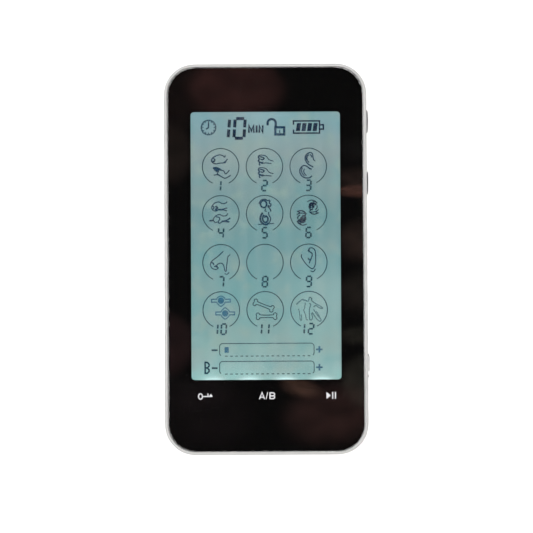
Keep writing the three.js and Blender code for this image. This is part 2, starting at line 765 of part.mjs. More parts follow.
/** A shape drawn in the X-Z plane and pushed inward from the bottom edge, from depth d0 to depth d1. */
function pushedInward(shape, d0, d1) {
  const geometry = new THREE.ExtrudeGeometry(shape, { depth: d1 - d0, bevelEnabled: false });
  return solid(geometry.rotateX(Math.PI / 2).translate(0, d1, 0));
}

function addChargingSocket() {
  const group = new THREE.Group();
  group.position.set(0, endY, partingHeight);
  unit.add(group);
  const bore = pushedInward(usbSection(usb.sheet), -1, usb.back + 1);
  piece("usb_shell", pushedInward(usbSection(0), usb.front, usb.back).subtract(bore), "steel", group);
  const back = pushedInward(usbSection(usb.sheet + 0.05), usb.back - 2.8, usb.back - 0.2);
  const tongue = block([-1.75, 1.3, 0.1], [1.75, usb.back - 2.6, 0.9]);
  piece("usb_insulator", back.add(tongue), "blackPlastic", group);
}

// ---------------------------------------------------------------- the whole unit

addCase();
addTouchPanel();
addDisplay();
addBoard();
addBattery();
for (const [name, y] of Object.entries(jacks)) {
  addOutputSocket(name, y);
}
addPowerSwitch();
addChargingSocket();

export default unit;
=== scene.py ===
import math

import bmesh
import bpy
from mathutils import Matrix, Vector


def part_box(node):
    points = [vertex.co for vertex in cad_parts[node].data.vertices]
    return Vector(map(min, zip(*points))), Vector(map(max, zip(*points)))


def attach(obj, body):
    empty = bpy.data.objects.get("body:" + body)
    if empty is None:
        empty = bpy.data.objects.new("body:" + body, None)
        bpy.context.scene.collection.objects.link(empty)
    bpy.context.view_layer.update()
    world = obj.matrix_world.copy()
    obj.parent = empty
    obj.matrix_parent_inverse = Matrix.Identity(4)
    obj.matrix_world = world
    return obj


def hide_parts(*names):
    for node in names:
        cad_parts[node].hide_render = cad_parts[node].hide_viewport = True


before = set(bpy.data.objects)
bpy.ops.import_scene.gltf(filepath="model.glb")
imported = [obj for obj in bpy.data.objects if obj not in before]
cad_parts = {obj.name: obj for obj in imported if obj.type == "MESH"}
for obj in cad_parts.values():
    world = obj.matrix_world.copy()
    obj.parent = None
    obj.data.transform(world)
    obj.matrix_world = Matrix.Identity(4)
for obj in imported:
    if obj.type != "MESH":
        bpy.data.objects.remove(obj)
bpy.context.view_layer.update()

MM = 0.001

# ---------------- sizes, from the frame

CASE_LOW, CASE_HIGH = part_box("front_frame")
LENS_LOW, LENS_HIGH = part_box("touch_lens")
BODY = CASE_HIGH - CASE_LOW
SIDE_X = CASE_HIGH.x
END_Y = CASE_LOW.y
PARTING = CASE_LOW.z
RIM_TOP = CASE_HIGH.z
FACE = LENS_HIGH.z
INK_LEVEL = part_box("mask_film")[1].z
DISPLAY_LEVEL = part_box("lcd_front_polariser")[1].z

# ---------------- sizes that no box tells

CORNER = 9 * MM
WALL = 1.3 * MM
CLEARANCE = 0.05 * MM
COLLAR = (6.9 * MM, 4.9 * MM)
FLANGE = (8.4 * MM, 5.8 * MM)
SIGHT_BOTTOM, SIGHT_TOP = -35.5 * MM, 43.3 * MM
CORNER_STEPS = 14
SHARP = 35


# ---------------- meshes

def apply_modifiers(piece):
    """Replaces a piece's mesh with what its modifiers make of it."""
    bpy.context.view_layer.update()
    evaluated = piece.evaluated_get(bpy.context.evaluated_depsgraph_get())
    made = bpy.data.meshes.new_from_object(evaluated)
    piece.modifiers.clear()
    piece.data = made


def mesh_object(name, vertices, faces):
    """A closed mesh as an object, smooth except at its sharp edges."""
    mesh = bpy.data.meshes.new(name)
    mesh.from_pydata([tuple(v) for v in vertices], [], faces)
    bm = bmesh.new()
    bm.from_mesh(mesh)
    bmesh.ops.remove_doubles(bm, verts=bm.verts, dist=1e-7)
    bmesh.ops.dissolve_degenerate(bm, dist=1e-8, edges=bm.edges)
    bmesh.ops.recalc_face_normals(bm, faces=bm.faces)
    bm.to_mesh(mesh)
    bm.free()
    piece = bpy.data.objects.new(name, mesh)
    bpy.context.scene.collection.objects.link(piece)
    smooth(piece)
    return piece


def smooth(piece, degrees=SHARP):
    """Smooth shading that keeps the edges sharper than an angle."""
    piece.data.shade_smooth()
    piece.data.set_sharp_from_angle(angle=math.radians(degrees))


def flat_faces(piece):
    """Keeps large faces flat in shading where they meet rounded edges."""
    modifier = piece.modifiers.new("normals", "WEIGHTED_NORMAL")
    modifier.keep_sharp = True


def ring(size, radius, level, centre=(0, 0), inset=0, arc=CORNER_STEPS):
    """Points round a rectangle with round corners, at one level and some way in from its edge."""
    x = size[0] / 2 - inset
    y = size[1] / 2 - inset
    r = max(min(radius - inset, x, y), 1e-6)
    points = []
    for quarter, (sx, sy) in enumerate([(1, -1), (1, 1), (-1, 1), (-1, -1)]):
        for step in range(arc + 1):
            angle = math.radians(90 * (quarter - 1 + step / arc))
            px = centre[0] + sx * (x - r) + r * math.cos(angle)
            py = centre[1] + sy * (y - r) + r * math.sin(angle)
            points.append(Vector((px, py, level)))
    return points


def disc(radius, level, centre=(0, 0), arc=CORNER_STEPS):
    """Points round a circle, at one level."""
    return ring((2 * radius, 2 * radius), radius, level, centre, arc=arc)


def skin(name, rings, closed=False, place=None):
    """A surface through rings of points. It ends in two flat caps, or closes on itself."""
    count = len(rings[0])
    points = [p for one in rings for p in one]
    faces = []
    for k in range(len(rings) if closed else len(rings) - 1):
        a = k * count
        b = (k + 1) % len(rings) * count
        for i in range(count):
            j = (i + 1) % count
            faces.append((a + i, a + j, b + j, b + i))
    if not closed:
        faces.append(tuple(reversed(range(count))))
        faces.append(tuple(range((len(rings) - 1) * count, len(rings) * count)))
    if place:
        points = [place(p) for p in points]
    return mesh_object(name, points, faces)


def fillet(radius, steps=6):
    """Inset and drop along a quarter round, from the flat of a side to the flat of a top."""
    turns = [math.radians(90 * k / steps) for k in range(steps + 1)]
    return [(radius * (1 - math.cos(t)), radius * (1 - math.sin(t))) for t in turns]


def boolean(piece, cutters, operation="DIFFERENCE"):
    """Cuts or joins other objects into a piece, and removes them."""
    for cutter in cutters:
        modifier = piece.modifiers.new("boolean", "BOOLEAN")
        modifier.operation = operation
        modifier.solver = "EXACT"
        modifier.object = cutter
    apply_modifiers(piece)
    for cutter in cutters:
        bpy.data.objects.remove(cutter)
    bm = bmesh.new()
    bm.from_mesh(piece.data)
    bmesh.ops.dissolve_degenerate(bm, dist=2e-7, edges=bm.edges)
    bm.to_mesh(piece.data)
    bm.free()
    smooth(piece)


def block(low, high):
    """A plain box between two corners, used to cut or to join."""
    size = Vector(high) - Vector(low)
    middle = (Vector(high) + Vector(low)) / 2
    return skin("block", [ring(size, 1e-6, z, middle, arc=1) for z in (low[2], high[2])])


def post(middle, radius, low, high):
    """A plain upright cylinder, used to cut or to join."""
    return skin("post", [disc(radius, z, middle, arc=8) for z in (low, high)])


def footprint(name, room=0):
    """The size of a CAD node's box with some room round it, and its middle, both seen from above."""
    low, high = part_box(name)
    size = high - low
    return (size.x + room, size.y + room), ((low + high) / 2).to_2d()


# ---------------- materials

class Textures:
    """The nodes of one material, with textures laid out in the object's own metres."""

    def __init__(self, name):
        self.material = bpy.data.materials.new(name)
        self.material.use_nodes = True
        self.tree = self.material.node_tree
        self.place = self.node("ShaderNodeTexCoord").outputs["Object"]

    def node(self, kind, **inputs):
        """A node with some of its inputs set to values or linked to other nodes."""
        made = self.tree.nodes.new(kind)
        for name, value in inputs.items():
            self.feed(made.inputs[name.replace("_", " ")], value)
        return made

    def feed(self, socket, value):
        """Sets a socket to a value, or links it to another node's output."""
        if isinstance(value, bpy.types.NodeSocket):
            self.tree.links.new(value, socket)
        else:
            socket.default_value = value

    def finish(self, shader):
        """Makes a shader the one that the material shows."""
        self.feed(self.tree.nodes["Material Output"].inputs["Surface"], shader)
        return self.material

    def blend(self, kind, *inputs):
        """A shader made of two others, by mixing or adding them."""
        made = self.tree.nodes.new(kind)
        for socket, value in zip(made.inputs, inputs):
            self.feed(socket, value)
        return made.outputs[0]

    def noise(self, size, detail=3, stretch=None):
        """Cloudy noise whose features are about size metres across, stretched along some axes."""
        where = self.place
        if stretch:
            where = self.node("ShaderNodeMapping", Vector=where, Scale=stretch).outputs[0]
        return self.node("ShaderNodeTexNoise", Vector=where, Scale=1 / size, Detail=detail).outputs["Fac"]

    def cells(self, size):
        """Distance to the nearest of many scattered points, about size metres apart."""
        return self.node("ShaderNodeTexVoronoi", Vector=self.place, Scale=1 / size).outputs["Distance"]

    def bands(self, size, direction="X"):
        """Even stripes, size metres from one to the next."""
        made = self.node("ShaderNodeTexWave", Vector=self.place, Scale=math.pi / size / 10)
        made.bands_direction = direction
        return made.outputs["Fac"]

    def spread(self, value, low, high, start=0.3, end=0.7):
        """A value from start to end, moved to the range low to high."""
        ends = {"From_Min": start, "From_Max": end, "To_Min": low, "To_Max": high}
        return self.node("ShaderNodeMapRange", Value=value, **ends).outputs[0]

    def mix(self, factor, first, second):
        """A colour between two others."""
        made = self.tree.nodes.new("ShaderNodeMix")
        made.data_type = "RGBA"
        for socket, value in ((0, factor), (6, first), (7, second)):
            self.feed(made.inputs[socket], value)
        return made.outputs[2]

    def math(self, operation, first, second=0.0):
        """One step of arithmetic."""
        made = self.tree.nodes.new("ShaderNodeMath")
        made.operation = operation
        self.feed(made.inputs[0], first)
        self.feed(made.inputs[1], second)
        return made.outputs[0]

    def add(self, first, second):
        return self.math("ADD", first, second)

    def times(self, first, second):
        return self.math("MULTIPLY", first, second)


class Surface(Textures):
    """A Principled shader whose colour, gloss and height are fed by textures."""

    def __init__(self, name, color, roughness, **constants):
        super().__init__(name)
        self.shader = self.tree.nodes["Principled BSDF"]
        self.color = (*color, 1)
        self.roughness = roughness
        self.shader.inputs["Base Color"].default_value = self.color
        self.shader.inputs["Roughness"].default_value = roughness
        for socket, value in constants.items():
            self.shader.inputs[socket.replace("_", " ")].default_value = value

    def paint(self, color):
        """Feeds the base colour."""
        self.feed(self.shader.inputs["Base Color"], color)

    def mottle(self, factor, amount):
        """Makes the base colour a little darker where factor is high."""
        darker = tuple(c * (1 - amount) for c in self.color[:3]) + (1,)
        self.paint(self.mix(factor, self.color, darker))

    def polish(self, factor, change):
        """Varies the roughness about its value."""
        low, high = self.roughness - change, self.roughness + change
        self.feed(self.shader.inputs["Roughness"], self.spread(factor, max(low, 0.01), min(high, 1)))

    def bump(self, height, depth):
        """Raises the surface by height times depth metres, and hands over the finished material."""
        made = self.node("ShaderNodeBump", Height=height, Distance=depth, Strength=1.0)
        self.feed(self.shader.inputs["Normal"], made.outputs[0])
        return self.material


def moulded(name, color, roughness, grain=0.25 * MM, depth=0.006 * MM, **constants):
    """Moulded plastic: a fine sparked grain, cloudy gloss and a little colour drift."""
    surface = Surface(name, color, roughness, **constants)
    surface.mottle(surface.noise(6 * MM), 0.06)
    surface.polish(surface.noise(1.5 * MM, 5), 0.07)
    return surface.bump(surface.noise(grain, 4), depth)


def brushed(name, color, roughness, along=(0.04, 1, 1)):
    """Metal with fine lines along one axis, and dull patches."""
    surface = Surface(name, color, roughness, Metallic=1.0)
    lines = surface.noise(0.12 * MM, 4, along)
    surface.mottle(surface.noise(2 * MM, 4), 0.18)
    surface.polish(lines, 0.12)
    return surface.bump(lines, 0.002 * MM)


def case_plastic():
    """Pale satin moulding with a sparked grain, fine scratches and cloudy patches of gloss."""
    surface = Surface("case_plastic", (0.595, 0.593, 0.588), 0.36, Coat_Weight=0.15, Coat_Roughness=0.2)
    scratches = surface.noise(0.35 * MM, 5, (1, 0.05, 1))
    clouds = surface.noise(9 * MM, 3)
    surface.mottle(surface.spread(clouds, 0, 1), 0.05)
    surface.polish(surface.add(scratches, surface.times(clouds, 0.2)), 0.08)
    grain = surface.add(surface.noise(0.18 * MM, 3), surface.times(scratches, 0.4))
    return surface.bump(grain, 0.004 * MM)


def cover_glass():
    """Clear hardened glass with faint smears on its polish. Lamps reach what is behind it."""
    surface = Surface("cover_glass", (1, 1, 1), 0.01, Transmission_Weight=1.0, IOR=1.5)
    smears = surface.noise(14 * MM, 4, (1, 0.5, 1))
    surface.feed(surface.shader.inputs["Roughness"], surface.spread(smears, 0.0, 0.03, 0.45, 0.75))
    surface.bump(surface.noise(25 * MM, 2), 0.01 * MM)
    shadow = surface.node("ShaderNodeLightPath").outputs["Is Shadow Ray"]
    clear = surface.node("ShaderNodeBsdfTransparent", Color=(1, 1, 1, 1)).outputs[0]
    return surface.finish(surface.blend("ShaderNodeMixShader", shadow, surface.shader.outputs[0], clear))


def thin_glass(name, tint, lines=None):
    """A thin clear sheet: mostly see-through, with a faint sheen and an optional grid of electrodes."""
    surface = Surface(name, tint, 0.06)
    pattern = surface.bands(lines, "X") if lines else surface.noise(5 * MM, 3)
    surface.polish(pattern, 0.05)
    surface.mottle(surface.noise(8 * MM), 0.1)
    clear = surface.node("ShaderNodeBsdfTransparent", Color=(0.97, 0.985, 0.98, 1)).outputs[0]
    sheen = surface.spread(pattern, 0.006, 0.014, 0, 1)
    return surface.finish(surface.blend("ShaderNodeMixShader", sheen, clear, surface.shader.outputs[0]))


# The display's ground from its lower edge (0) to its upper edge (1).
DISPLAY_TONES = [
    (0.00, (0.285, 0.545, 0.522)),
    (0.05, (0.300, 0.480, 0.475)),
    (0.11, (0.278, 0.440, 0.425)),
    (0.26, (0.192, 0.382, 0.384)),
    (0.44, (0.165, 0.330, 0.348)),
    (0.62, (0.155, 0.300, 0.318)),
    (0.84, (0.245, 0.328, 0.342)),
    (0.98, (0.200, 0.365, 0.410)),
]
# Clouds in the display's light: size, detail, share, where they start and end, colour.
DISPLAY_CLOUDS = [
    (9.0, 2, 0.60, 0.42, 0.68, (0.27, 0.36, 0.35)),
    (6.5, 2, 0.45, 0.50, 0.70, (0.14, 0.35, 0.37)),
    (4.5, 3, 0.50, 0.54, 0.74, (0.30, 0.42, 0.37)),
]
# Uneven patches: x, y and radius in millimetres, colour, share.
DISPLAY_PATCHES = [
    (0, 42, 7, (0.29, 0.46, 0.50), 0.5),
    (17, -12, 9, (0.31, 0.47, 0.47), 0.6),
    (-6.7, 31, 7, (0.31, 0.39, 0.37), 0.5),
    (14, 13, 6, (0.14, 0.31, 0.32), 0.5),
    (-19, 0, 6, (0.15, 0.36, 0.37), 0.4),
]


def hump(surface, along, middle, radius):
    """A soft hump about a place along one axis, in millimetres."""
    away = surface.times(surface.math("SUBTRACT", along, middle * MM), 1 / (radius * MM))
    return surface.math("EXPONENT", surface.times(surface.times(away, away), -1))


def display_ground(surface, x, y):
    """The display's cloudy blue-green, without the glow at its lower edge."""
    ramp = surface.node("ShaderNodeValToRGB", Fac=surface.spread(y, 0, 1, SIGHT_BOTTOM, SIGHT_TOP))
    elements = ramp.color_ramp.elements
    elements.remove(elements[1])
    for k, (stop, tone) in enumerate(DISPLAY_TONES):
        element = elements[0] if k == 0 else elements.new(stop)
        element.position = stop
        element.color = (*tone, 1)
    color = ramp.outputs["Color"]
    for size, detail, share, start, end, tone in DISPLAY_CLOUDS:
        clouds = surface.spread(surface.noise(size * MM, detail), 0, share, start, end)
        color = surface.mix(clouds, color, (*tone, 1))
    for across, along, radius, tone, share in DISPLAY_PATCHES:
        patch = surface.times(hump(surface, x, across, radius), hump(surface, y, along, radius))
        color = surface.mix(surface.times(patch, share), color, (*tone, 1))
    return color


def lit_film():
    """The display's lit ground, with a glow at its lower edge where four lamps shine in."""
    surface = Surface("lit_film", (0.008, 0.012, 0.012), 0.35, Specular_IOR_Level=0.0)
    split = surface.node("ShaderNodeSeparateXYZ", Vector=surface.place).outputs
    x, y = split["X"], split["Y"]
    ground = display_ground(surface, x, y)
    down = surface.times(surface.math("SUBTRACT", y, SIGHT_BOTTOM), -1 / MM)
    glow = 0.0
    for strength, reach in ((0.48, 1.3), (1.5, 0.42)):
        fading = surface.math("EXPONENT", surface.times(down, 1 / reach))
        glow = surface.add(surface.times(fading, strength), glow)
    pools = 0.0
    for lamp in (-15.5, -5, 5.6, 16.2):
        pools = surface.add(hump(surface, x, lamp, 2.9), pools)
    lit = surface.mix(surface.times(pools, glow), ground, (0.68, 0.95, 0.94, 1))
    surface.feed(surface.shader.inputs["Emission Color"], lit)
    surface.shader.inputs["Emission Strength"].default_value = 1.0
    return surface.bump(surface.noise(0.5 * MM, 2), 0.002 * MM)


def ink(name, color):
    """Printed or liquid-crystal marks: nearly even, with a slightly cloudy density."""
    surface = Surface(name, color, 0.4, Specular_IOR_Level=0.0)
    surface.mottle(surface.noise(0.8 * MM, 3), 0.25)
    surface.polish(surface.noise(0.5 * MM), 0.05)
    return surface.material


# ---------------- finishing a piece

def finish_piece(piece, material, body="case", replaces=()):
    """Gives a piece its material, its body and the CAD nodes that it stands for."""
    piece.data.materials.clear()
    piece.data.materials.append(material)
    flat_faces(piece)
    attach(piece, body)
    if replaces:
        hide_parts(*replaces)
    return piece


# ---------------- case

def corner_screws():
    """The places of the four case screws."""
    return [footprint(f"case_screw_{i}")[1] for i in range(1, 5)]


def body_ring(inset, level):
    """A ring parallel to the case's outline."""
    return ring(BODY, CORNER, level, inset=inset)


def side_place(y):
    """Maps a shape drawn in the plane of the right wall to its place, with its depth along +X."""
    return lambda p: Vector((SIDE_X + p.z, y + p.x, PARTING + p.y))


def fitting_middle(name):
    """How far along the right edge a side fitting sits."""
    return sum(corner.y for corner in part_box(name)) / 2


def wall_cutters():
    """Shapes that open the walls for the side fittings and the charging socket."""
    cutters = []
    for name in ("jack_a_insert", "jack_b_insert", "switch_insert"):
        depths = (-WALL - 1 * MM, 1 * MM)
        rings = [ring(COLLAR, COLLAR[1] / 2, depth, inset=-CLEARANCE) for depth in depths]
        cutters.append(skin("cutter", rings, place=side_place(fitting_middle(name))))
    low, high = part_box("usb_shell")
    corner = Vector((CLEARANCE, 0, CLEARANCE))
    start = Vector((low.x, END_Y - 1 * MM, low.z)) - corner
    end = Vector((high.x, END_Y + WALL + 1 * MM, high.z)) + corner
    return cutters + [block(start, end)]


def frame_rings(deck_bottom):
    """The front frame's section, from its lower edge over the rim and down to the deck's underside."""
    chamfer, lip, window_corner = 0.1 * MM, 0.7 * MM, 0.8 * MM
    mouth_corner, pocket_corner = 8.2 * MM, 8 * MM
    deck_top = deck_bottom + 1 * MM
    lip_top = PARTING + 1 * MM
    glass = LENS_HIGH - LENS_LOW
    pocket = (glass.x + 0.2 * MM, glass.y + 0.2 * MM)
    mouth = (pocket[0] + 0.6 * MM, pocket[1] + 0.12 * MM)
    window, middle = footprint("lcd_holder", 0.6 * MM)
    rings = [body_ring(chamfer, PARTING), body_ring(0, PARTING + chamfer)]
    rings += [body_ring(inset, RIM_TOP - drop) for inset, drop in fillet(0.8 * MM)]
    rings += [ring(mouth, mouth_corner, RIM_TOP)]
    rings += [ring(pocket, pocket_corner, level) for level in (RIM_TOP - 0.6 * MM, deck_top)]
    rings += [ring(window, window_corner, level, middle) for level in (deck_top, deck_bottom)]
    rings += [body_ring(WALL, deck_bottom), body_ring(WALL, lip_top)]
    return rings + [body_ring(lip, lip_top), body_ring(lip, PARTING)]


def front_frame(material):
    """The ring round the glass, with the deck inside it and the posts that the case screws bite."""
    deck_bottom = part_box("lens_tape")[0].z - 1 * MM
    piece = skin("front_frame_shell", frame_rings(deck_bottom), closed=True)
    post_radius, hole_radius = 2.3 * MM, 1.05 * MM
    screws = corner_screws()
    posts = [post(p, post_radius, PARTING + 0.1 * MM, deck_bottom + 0.1 * MM) for p in screws]
    boolean(piece, posts, "UNION")
    holes = [post(p, hole_radius, PARTING - 1 * MM, deck_bottom - 0.5 * MM) for p in screws]
    boolean(piece, holes + wall_cutters())
    finish_piece(piece, material, replaces=["front_frame"])


def rear_cover(material):
    """The tray that closes the back, with its lip, screw wells, ribs and label recess."""
    top = PARTING - 0.02 * MM
    lip_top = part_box("rear_cover")[1].z
    section = [(0, top - 0.12 * MM), (0.12 * MM, top), (0.85 * MM, top), (0.85 * MM, lip_top - 0.1 * MM)]
    section += [(0.95 * MM, lip_top), (WALL, lip_top), (WALL, WALL + 0.3 * MM), (WALL + 0.3 * MM, WALL)]
    rings = [body_ring(inset, level) for inset, level in [*reversed(fillet(2.4 * MM, 8)), *section]]
    piece = skin("rear_cover_shell", rings)
    post_radius, well_radius, bore_radius = 2.9 * MM, 2.1 * MM, 1.15 * MM
    well_floor, recess_floor, recess_corner = 1.9 * MM, 0.2 * MM, 1.8 * MM
    screws = corner_screws()
    posts = [post(p, post_radius, WALL - 0.1 * MM, top) for p in screws]
    boolean(piece, posts + battery_ribs(), "UNION")
    wells = [post(p, well_radius, -1 * MM, well_floor) for p in screws]
    bores = [post(p, bore_radius, 0, 8 * MM) for p in screws]
    size, middle = footprint("rating_label", 0.6 * MM)
    recess = skin("cutter", [ring(size, recess_corner, z, middle) for z in (-1 * MM, recess_floor)])
    boolean(piece, wells + bores + [recess] + wall_cutters())
    finish_piece(piece, material, replaces=["rear_cover"])


def battery_ribs():
    """The low ribs on the floor that keep the battery in its place."""
    low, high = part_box("battery_cell")
    floor, top = WALL - 0.1 * MM, 3.2 * MM
    rib, reach = 0.9 * MM, 6 * MM
    left, right, end = low.x - 0.3 * MM, high.x + 0.3 * MM, low.y - 0.3 * MM
    return [
        block((left - rib, low.y + reach, floor), (left, high.y - reach, top)),
        block((right, low.y + reach, floor), (right + rib, high.y - reach, top)),
        block((left + 4 * MM, end - rib, floor), (right - 4 * MM, end, top)),
    ]


def rating_label(material):
    """A blank foil label with softened edges, in its recess."""
    low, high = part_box("rating_label")
    size, middle = footprint("rating_label")
    edge = 0.04 * MM
    section = [(edge, low.z), (0, low.z + edge), (0, high.z)]
    rings = [ring(size, 1.5 * MM, level, middle, inset) for inset, level in section]
    finish_piece(skin("blank_label", rings), material, replaces=["rating_label"])


def case_screw(index, material):
    """A pan-head screw with a cross recess and a rolled thread, standing on its head."""
    low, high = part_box(f"case_screw_{index}")
    x, y = footprint(f"case_screw_{index}")[1]
    head, head_top = 1.9 * MM, low.z + 1.3 * MM
    crest, root, pitch = 1 * MM, 0.78 * MM, 0.55 * MM
    section = [(head - inset, low.z + drop) for inset, drop in reversed(fillet(0.45 * MM, 5))]
    section += [(head, head_top), (crest, head_top)]
    for turn in range(int((high.z - head_top - 0.8 * MM) / pitch)):
        z = head_top + 0.5 * MM + turn * pitch
        section += [(root, z), (crest, z + pitch / 2)]
    section += [(0.8 * MM, high.z - 0.3 * MM), (0.5 * MM, high.z)]
    rings = [disc(radius, level, (x, y), 7) for radius, level in section]
    piece = skin(f"cross_head_screw_{index}", rings)
    reach, blade, depth = 1.05 * MM, 0.26 * MM, low.z + 0.7 * MM
    cross = block((x - reach, y - blade, -1 * MM), (x + reach, y + blade, depth))
    boolean(cross, [block((x - blade, y - reach, -1 * MM), (x + blade, y + reach, depth))], "UNION")
    boolean(piece, [cross])
    finish_piece(piece, material, replaces=[f"case_screw_{index}"])


def cover_lens(material):
    """The cover glass, with a polished round edge."""
    section = [(0.1 * MM, LENS_LOW.z), (0, LENS_LOW.z + 0.1 * MM)]
    section += [(inset, FACE - drop) for inset, drop in fillet(0.3 * MM, 5)]
    rings = [ring(LENS_HIGH - LENS_LOW, 7.9 * MM, level, inset=inset) for inset, level in section]
    finish_piece(skin("cover_glass_pane", rings), material, replaces=["touch_lens"])


# ---------------- side fittings

def insert_rings(hole):
    """Rings of a wall insert: its flange inside, its collar, its rounded face and its hole."""
    flange_back, flange_front = -WALL - 0.75 * MM, -WALL - 0.1 * MM
    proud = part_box("jack_a_insert")[1].x - SIDE_X
    chamfer = 0.12 * MM
    collar = lambda inset, level: ring(COLLAR, COLLAR[1] / 2, level, inset=inset)
    rings = [hole(0, flange_back)]
    rings += [ring(FLANGE, FLANGE[1] / 2, level) for level in (flange_back, flange_front)]
    rings += [collar(0, flange_front)]
    rings += [collar(inset, proud - drop) for inset, drop in fillet(0.25 * MM, 4)]
    return rings + [hole(chamfer, proud), hole(0, proud - chamfer)]


# The plated sleeve's section: radius, and depth from the wall's face, in millimetres.
SLEEVE = [(1.3, -3.7), (1.75, -3.7), (1.75, -2.45), (2.2, -2.45), (2.2, -0.2), (2.15, -0.08), (2.03, 0),
          (1.62, 0), (1.5, -0.06), (1.36, -0.22), (1.3, -0.4)]


def output_socket(letter, black, metal):
    """The visible part of an output socket: its black insert and its plated sleeve."""
    place = side_place(fitting_middle(f"jack_{letter}_insert"))
    hole_radius = 2.35 * MM
    round_hole = lambda flare, level: disc(hole_radius + flare, level)
    insert = skin(f"jack_{letter}_collar", insert_rings(round_hole), closed=True, place=place)
    finish_piece(insert, black, replaces=[f"jack_{letter}_insert"])
    rings = [disc(radius * MM, depth * MM) for radius, depth in SLEEVE]
    sleeve = skin(f"jack_{letter}_sleeve", rings, closed=True, place=place)
    finish_piece(sleeve, metal, replaces=[f"jack_{letter}_bushing"])


def switch_collar(material):
    """The power switch's insert, cut back between its raised ends where the knob slides."""
    y = fitting_middle("switch_insert")
    length, height, corner, half = 3.6 * MM, 2 * MM, 0.2 * MM, 2.9 * MM
    slot = lambda flare, level: ring((length + 2 * flare, height + 2 * flare), corner, level)
    piece = skin("switch_collar", insert_rings(slot), closed=True, place=side_place(y))
    boolean(piece, [block((SIDE_X + 0.05 * MM, y - half, 0), (SIDE_X + 1 * MM, y + half, 10 * MM))])
    finish_piece(piece, material, replaces=["switch_insert"])


def power_knob(material):
    """The sliding knob: a rounded cap with five finger grooves on a hollow stem."""
    low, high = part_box("power_knob")
    middle = fitting_middle("power_knob")
    back, front, edge = 0.12 * MM, high.x - SIDE_X, 0.05 * MM
    section = [(edge, back), (0, back + edge)]
    section += [(inset, front - drop) for inset, drop in fillet(0.2 * MM, 4)]
    size = (high.y - low.y, high.z - low.z)
    rings = [ring(size, 0.8 * MM, level, inset=inset) for inset, level in section]
    piece = skin("ribbed_power_knob", rings, place=side_place(middle))

    def bar(start, end, half_length, half_height):
        """A box through the wall, centred on the knob."""
        corner = Vector((0, half_length, half_height)) * MM
        return block(Vector((SIDE_X + start * MM, middle, PARTING)) - corner,
                     Vector((SIDE_X + end * MM, middle, PARTING)) + corner)

    boolean(piece, [bar(-2.6, 0.3, 1.1, 0.9)], "UNION")
    socket = bar(-4, -1.2, 0.75, 0.6)
    groove_x, groove_radius, pitch = high.x + 0.05 * MM, 0.17 * MM, 0.62 * MM
    grooves = []
    for i in range(-2, 3):
        spot = (groove_x, middle + i * pitch)
        upright = [disc(groove_radius, level, spot, 4) for level in (0, 10 * MM)]
        grooves.append(skin("groove", upright))
    boolean(piece, [socket] + grooves)
    finish_piece(piece, material, "power_switch", replaces=["power_knob"])


# ---------------- charging socket

def usb_ring(inset, depth):
    """The rounded outline of the charging socket's folded shell, at a depth inside the bottom edge."""
    low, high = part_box("usb_shell")
    x = (high.x - low.x) / 2 - inset
    z = (high.z - low.z) / 2 - inset
    knee, slope, steps = -0.3 * MM, 0.9 * MM, 3
    corners = [(-x, z), (-x, knee), (-x + slope, -z), (x - slope, -z), (x, knee), (x, z)]
    radius = max(0.45 * MM - inset, 0.1 * MM)
    points = []
    for k, corner in enumerate(corners):
        here = Vector(corner)
        before = (Vector(corners[k - 1]) - here).normalized()
        after = (Vector(corners[(k + 1) % len(corners)]) - here).normalized()
        for step in range(steps + 1):
            t = step / steps
            point = here + radius * ((1 - t) ** 2 * before + t ** 2 * after)
            points.append(Vector((point.x, END_Y + depth, PARTING + point.y)))
    return points


def charging_socket(metal, black):
    """The folded shell of the charging socket, and the tongue inside it."""
    low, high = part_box("usb_shell")
    front, back = low.y - END_Y, high.y - END_Y
    sheet, flare = 0.33 * MM, 0.12 * MM
    section = [(0, back), (0, front + flare), (flare / 2, front)]
    section += [(sheet - flare / 2, front), (sheet, front + flare), (sheet, back)]
    rings = [usb_ring(inset, depth) for inset, depth in section]
    shell = skin("folded_usb_shell", rings, closed=True)
    finish_piece(shell, metal, replaces=["usb_shell"])
    tongue_low, tongue_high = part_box("usb_insulator")
    core_depth, core_inset = 2.6 * MM, 0.42 * MM
    core = [usb_ring(core_inset, tongue_high.y - END_Y - depth) for depth in (0, core_depth)]
    piece = skin("usb_core", core)
    half, low, high = 1.75 * MM, PARTING + 0.1 * MM, PARTING + 0.9 * MM
    boolean(piece, [block((-half, tongue_low.y, low), (half, tongue_high.y - 2 * MM, high))], "UNION")
    finish_piece(piece, black, replaces=["usb_insulator"])


def usb_contacts(material):
    """Five flat contacts along the underside of the charging socket's tongue."""
    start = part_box("usb_insulator")[0].y
    pitch, half = 0.64 * MM, 0.16 * MM
    vertices, faces = [], []
    for i in range(-2, 3):
        left, right = i * pitch - half, i * pitch + half
        near, far = start + 0.2 * MM, start + 4.6 * MM
        outline = [(left, near), (right, near), (right, far), (left, far)]
        add_slab(vertices, faces, outline, PARTING + 0.05 * MM, PARTING + 0.12 * MM)
    finish_piece(mesh_object("usb_contacts", vertices, faces), material)


# ---------------- flat artwork

HAIR = 0.0003 * MM


def add_slab(vertices, faces, outline, low, high):
    """Adds a flat solid with the given outline between two levels."""
    first, count = len(vertices), len(outline)
    for level in (low, high):
        vertices += [Vector((x, y, level)) for x, y in outline]
    faces.append(tuple(reversed(range(first, first + count))))
    faces.append(tuple(range(first + count, first + 2 * count)))
    for i in range(count):
        j = (i + 1) % count
        faces.append((first + i, first + j, first + count + j, first + count + i))


